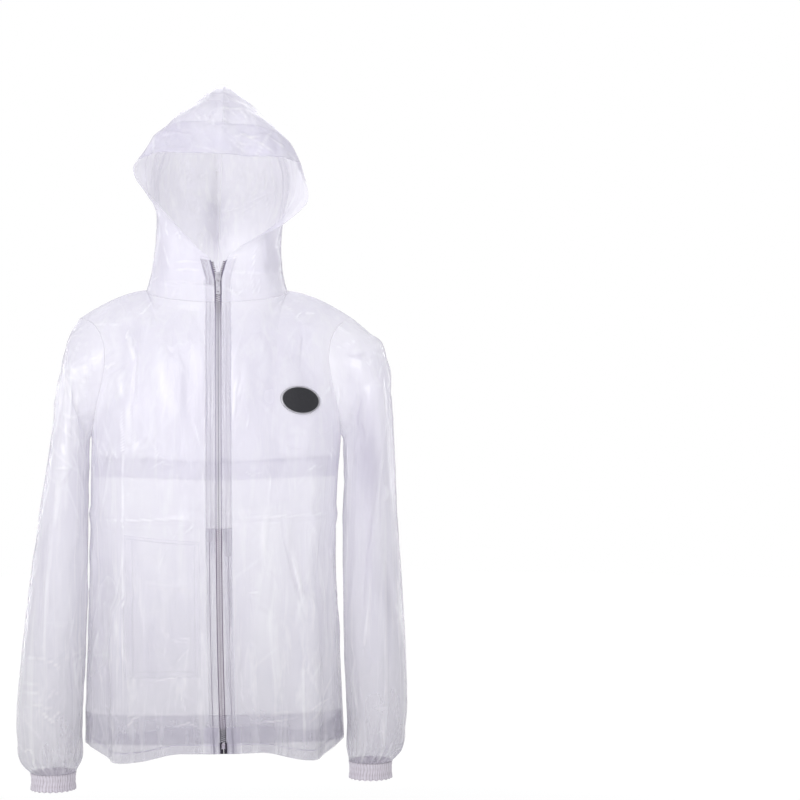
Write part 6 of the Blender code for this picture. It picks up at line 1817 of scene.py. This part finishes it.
class OBJECT_OT_raincoat_zip(RaincoatOperator, bpy.types.Operator):
    """Build the zip's tapes and teeth, and finish its slider, tab and stop"""
    bl_idname = "object.raincoat_zip"
    bl_label = "Zip"

    def make(self, film, scene):
        make_zip_tapes(finish_of("zip_tape_ribbed", tape_finish))
        make_zip_teeth(scene.raincoat_zip.pitch,
                       finish_of("zip_teeth_plastic", teeth_finish))
        bright = metal_finish("zip_bright_metal", (0.70, 0.68, 0.75, 1), (0.36, 0.34, 0.40, 1))
        dark = metal_finish("zip_dark_metal", (0.50, 0.46, 0.54, 1), (0.20, 0.17, 0.23, 1))
        for node, metal in (("zip_slider", bright), ("zip_pull_tab", bright),
                            ("zip_bottom_stop", dark)):
            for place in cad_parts[node].material_slots:
                place.material = metal


class OBJECT_OT_raincoat_badge(RaincoatOperator, bpy.types.Operator):
    """Build the plain oval badge on the left chest"""
    bl_idname = "object.raincoat_badge"
    bl_label = "Badge"

    def make(self, film, scene):
        make_badge(finish_of("badge_weave", badge_finish))


def aimed(name, kind, place, target, **settings):
    """A lamp or camera at a place, turned to look at a target."""
    data = bpy.data.cameras.new(name) if kind == "CAMERA" else bpy.data.lights.new(name, kind)
    for key, value in settings.items():
        setattr(data, key, value)
    made = bpy.data.objects.new(name, data)
    made.location = place
    made.rotation_euler = (Vector(target) - Vector(place)).to_track_quat("-Z", "Y").to_euler()
    bpy.context.scene.collection.objects.link(made)
    return made


def make_floor(depth):
    """A round pale floor whose brightness runs into the white surroundings far from the coat."""
    rings = [(radius, -depth) for radius in (0.02, 1.0, 2.0, 3.0, 5.0, 9.0)]
    grid = turned_profile(rings, 96)
    mesh = new_mesh("studio_floor", grid.reshape(-1, 3), lathe_faces(len(rings), 96)[:, ::-1])
    made = bpy.data.objects.new("studio_floor", mesh)
    bpy.context.scene.collection.objects.link(made)
    f = Finish("studio_floor_paint")
    away = f.add("ShaderNodeVectorMath", {"operation": "LENGTH"}, _0=f.place((1, 1, 0))).outputs[1]
    far = f.spread(away, 1.0, 3.2)
    grain = f.noise(f.place(), 9.0, 3.0)
    colour = f.mix(f.spread(grain, 0.3, 0.7), (0.90, 0.90, 0.91, 1), (0.93, 0.93, 0.94, 1))
    glow = f.spread(far, 0.0, 1.0, 0.12, 1.0)
    mesh.materials.append(f.set(
        Base_Color=f.mix(far, colour, (0, 0, 0, 1)), Roughness=0.7, Specular_IOR_Level=0.1,
        Emission_Color=WHITE, Emission_Strength=glow))


def make_surroundings(sky):
    """White all round for the eye; on the coat the light falls off downwards and to the right."""
    world = bpy.data.worlds.new("white_surroundings")
    world.use_nodes = True
    tree = world.node_tree
    tree.nodes.clear()
    spot = tree.nodes.new("ShaderNodeTexCoord")
    height = tree.nodes.new("ShaderNodeSeparateXYZ")
    ramped = tree.nodes.new("ShaderNodeMapRange")
    for key, value in (("From Min", -0.5), ("From Max", 0.9), ("To Min", 0.40 * sky),
                       ("To Max", 1.5 * sky)):
        ramped.inputs[key].default_value = value
    aside = tree.nodes.new("ShaderNodeMath")
    aside.operation = "MULTIPLY_ADD"
    aside.inputs[1].default_value = -0.18
    tree.links.new(spot.outputs["Generated"], height.inputs[0])
    tree.links.new(height.outputs[0], aside.inputs[0])
    tree.links.new(height.outputs[2], aside.inputs[2])
    tree.links.new(aside.outputs[0], ramped.inputs[0])
    lit, seen = tree.nodes.new("ShaderNodeBackground"), tree.nodes.new("ShaderNodeBackground")
    lit.inputs[0].default_value = (0.97, 0.98, 1.0, 1)
    seen.inputs[0].default_value = (1, 1, 1, 1)
    tree.links.new(ramped.outputs[0], lit.inputs[1])
    path, mixed = tree.nodes.new("ShaderNodeLightPath"), tree.nodes.new("ShaderNodeMixShader")
    out = tree.nodes.new("ShaderNodeOutputWorld")
    tree.links.new(path.outputs["Is Camera Ray"], mixed.inputs[0])
    tree.links.new(lit.outputs[0], mixed.inputs[1])
    tree.links.new(seen.outputs[0], mixed.inputs[2])
    tree.links.new(mixed.outputs[0], out.inputs[0])
    bpy.context.scene.world = world


class OBJECT_OT_raincoat_stage(RaincoatOperator, bpy.types.Operator):
    """Set up the pale floor, the soft studio lights and the camera"""
    bl_idname = "object.raincoat_stage"
    bl_label = "Stage"

    def make(self, film, scene):
        stage = scene.raincoat_stage
        make_floor(stage.floor)
        make_surroundings(stage.sky)
        middle = (0.0, 0.0, -0.20)
        aimed("key_softbox", "AREA", (-0.8, -2.6, 1.35), (0, 0, -0.1), energy=stage.key,
              shape="RECTANGLE", size=1.4, size_y=1.4)
        aimed("rim_softbox", "AREA", (0.2, 2.3, 1.3), middle, energy=stage.key * 0.4,
              shape="RECTANGLE", size=1.4, size_y=1.4)
        for name, place, length, share in (
            ("strip_left", (-1.9, -1.5, 0.0), 1.8, 1.0),
            ("strip_right", (1.9, -1.5, 0.1), 1.8, 0.6),
            ("strip_front", (-0.7, -2.6, 0.3), 1.6, 0.9),
            ("strip_back_left", (-1.5, 1.9, 0.1), 1.8, 1.0),
            ("strip_back_right", (1.6, 1.8, 0.1), 1.8, 1.0),
        ):
            aimed(name, "AREA", place, middle, energy=stage.strips * share, shape="RECTANGLE",
                  size=0.10, size_y=length)
        view = np.radians(5.256), np.radians(-1.24)
        eye = np.array([0.0, -3.0, -0.10])
        look = eye + (np.sin(view[0]) * np.cos(view[1]), np.cos(view[0]) * np.cos(view[1]),
                      np.sin(view[1]))
        scene.camera = aimed("studio_camera", "CAMERA", eye, look, lens=89.3, sensor_width=36.0)
        scene.view_settings.view_transform = "Standard"
        scene.view_settings.look = "None"
        scene.cycles.transparent_max_bounces = 40


OPERATORS = (
    OBJECT_OT_raincoat_fronts, OBJECT_OT_raincoat_back, OBJECT_OT_raincoat_flap,
    OBJECT_OT_raincoat_pocket, OBJECT_OT_raincoat_hems, OBJECT_OT_raincoat_sleeves,
    OBJECT_OT_raincoat_cuffs, OBJECT_OT_raincoat_hood, OBJECT_OT_raincoat_zip,
    OBJECT_OT_raincoat_badge, OBJECT_OT_raincoat_stage,
)
GROUPS = (
    ("raincoat_film", RaincoatFilm), ("raincoat_zip", RaincoatZip),
    ("raincoat_stage", RaincoatStage),
)


class VIEW3D_PT_raincoat(bpy.types.Panel):
    """The raincoat's sizes, and a button for each group of its pieces"""
    bl_idname = "VIEW3D_PT_raincoat"
    bl_label = "Clear raincoat"
    bl_space_type = "VIEW_3D"
    bl_region_type = "UI"
    bl_category = "Raincoat"

    def draw(self, context):
        for name, group in GROUPS:
            box = self.layout.box()
            for key in group.__annotations__:
                box.prop(getattr(context.scene, name), key)
        for operator in OPERATORS:
            self.layout.operator(operator.bl_idname)


def register():
    for name, group in GROUPS:
        bpy.utils.register_class(group)
        setattr(bpy.types.Scene, name, bpy.props.PointerProperty(type=group))
    for made in (*OPERATORS, VIEW3D_PT_raincoat):
        bpy.utils.register_class(made)


def unregister():
    for made in reversed((*OPERATORS, VIEW3D_PT_raincoat)):
        bpy.utils.unregister_class(made)
    for name, group in reversed(GROUPS):
        delattr(bpy.types.Scene, name)
        bpy.utils.unregister_class(group)


def main():
    register()
    for operator in OPERATORS:
        group, name = operator.bl_idname.split(".")
        result = getattr(getattr(bpy.ops, group), name)()
        if result != {"FINISHED"}:
            raise RuntimeError(f"{operator.bl_label} wasn't finished")


if __name__ == "__main__":
    main()
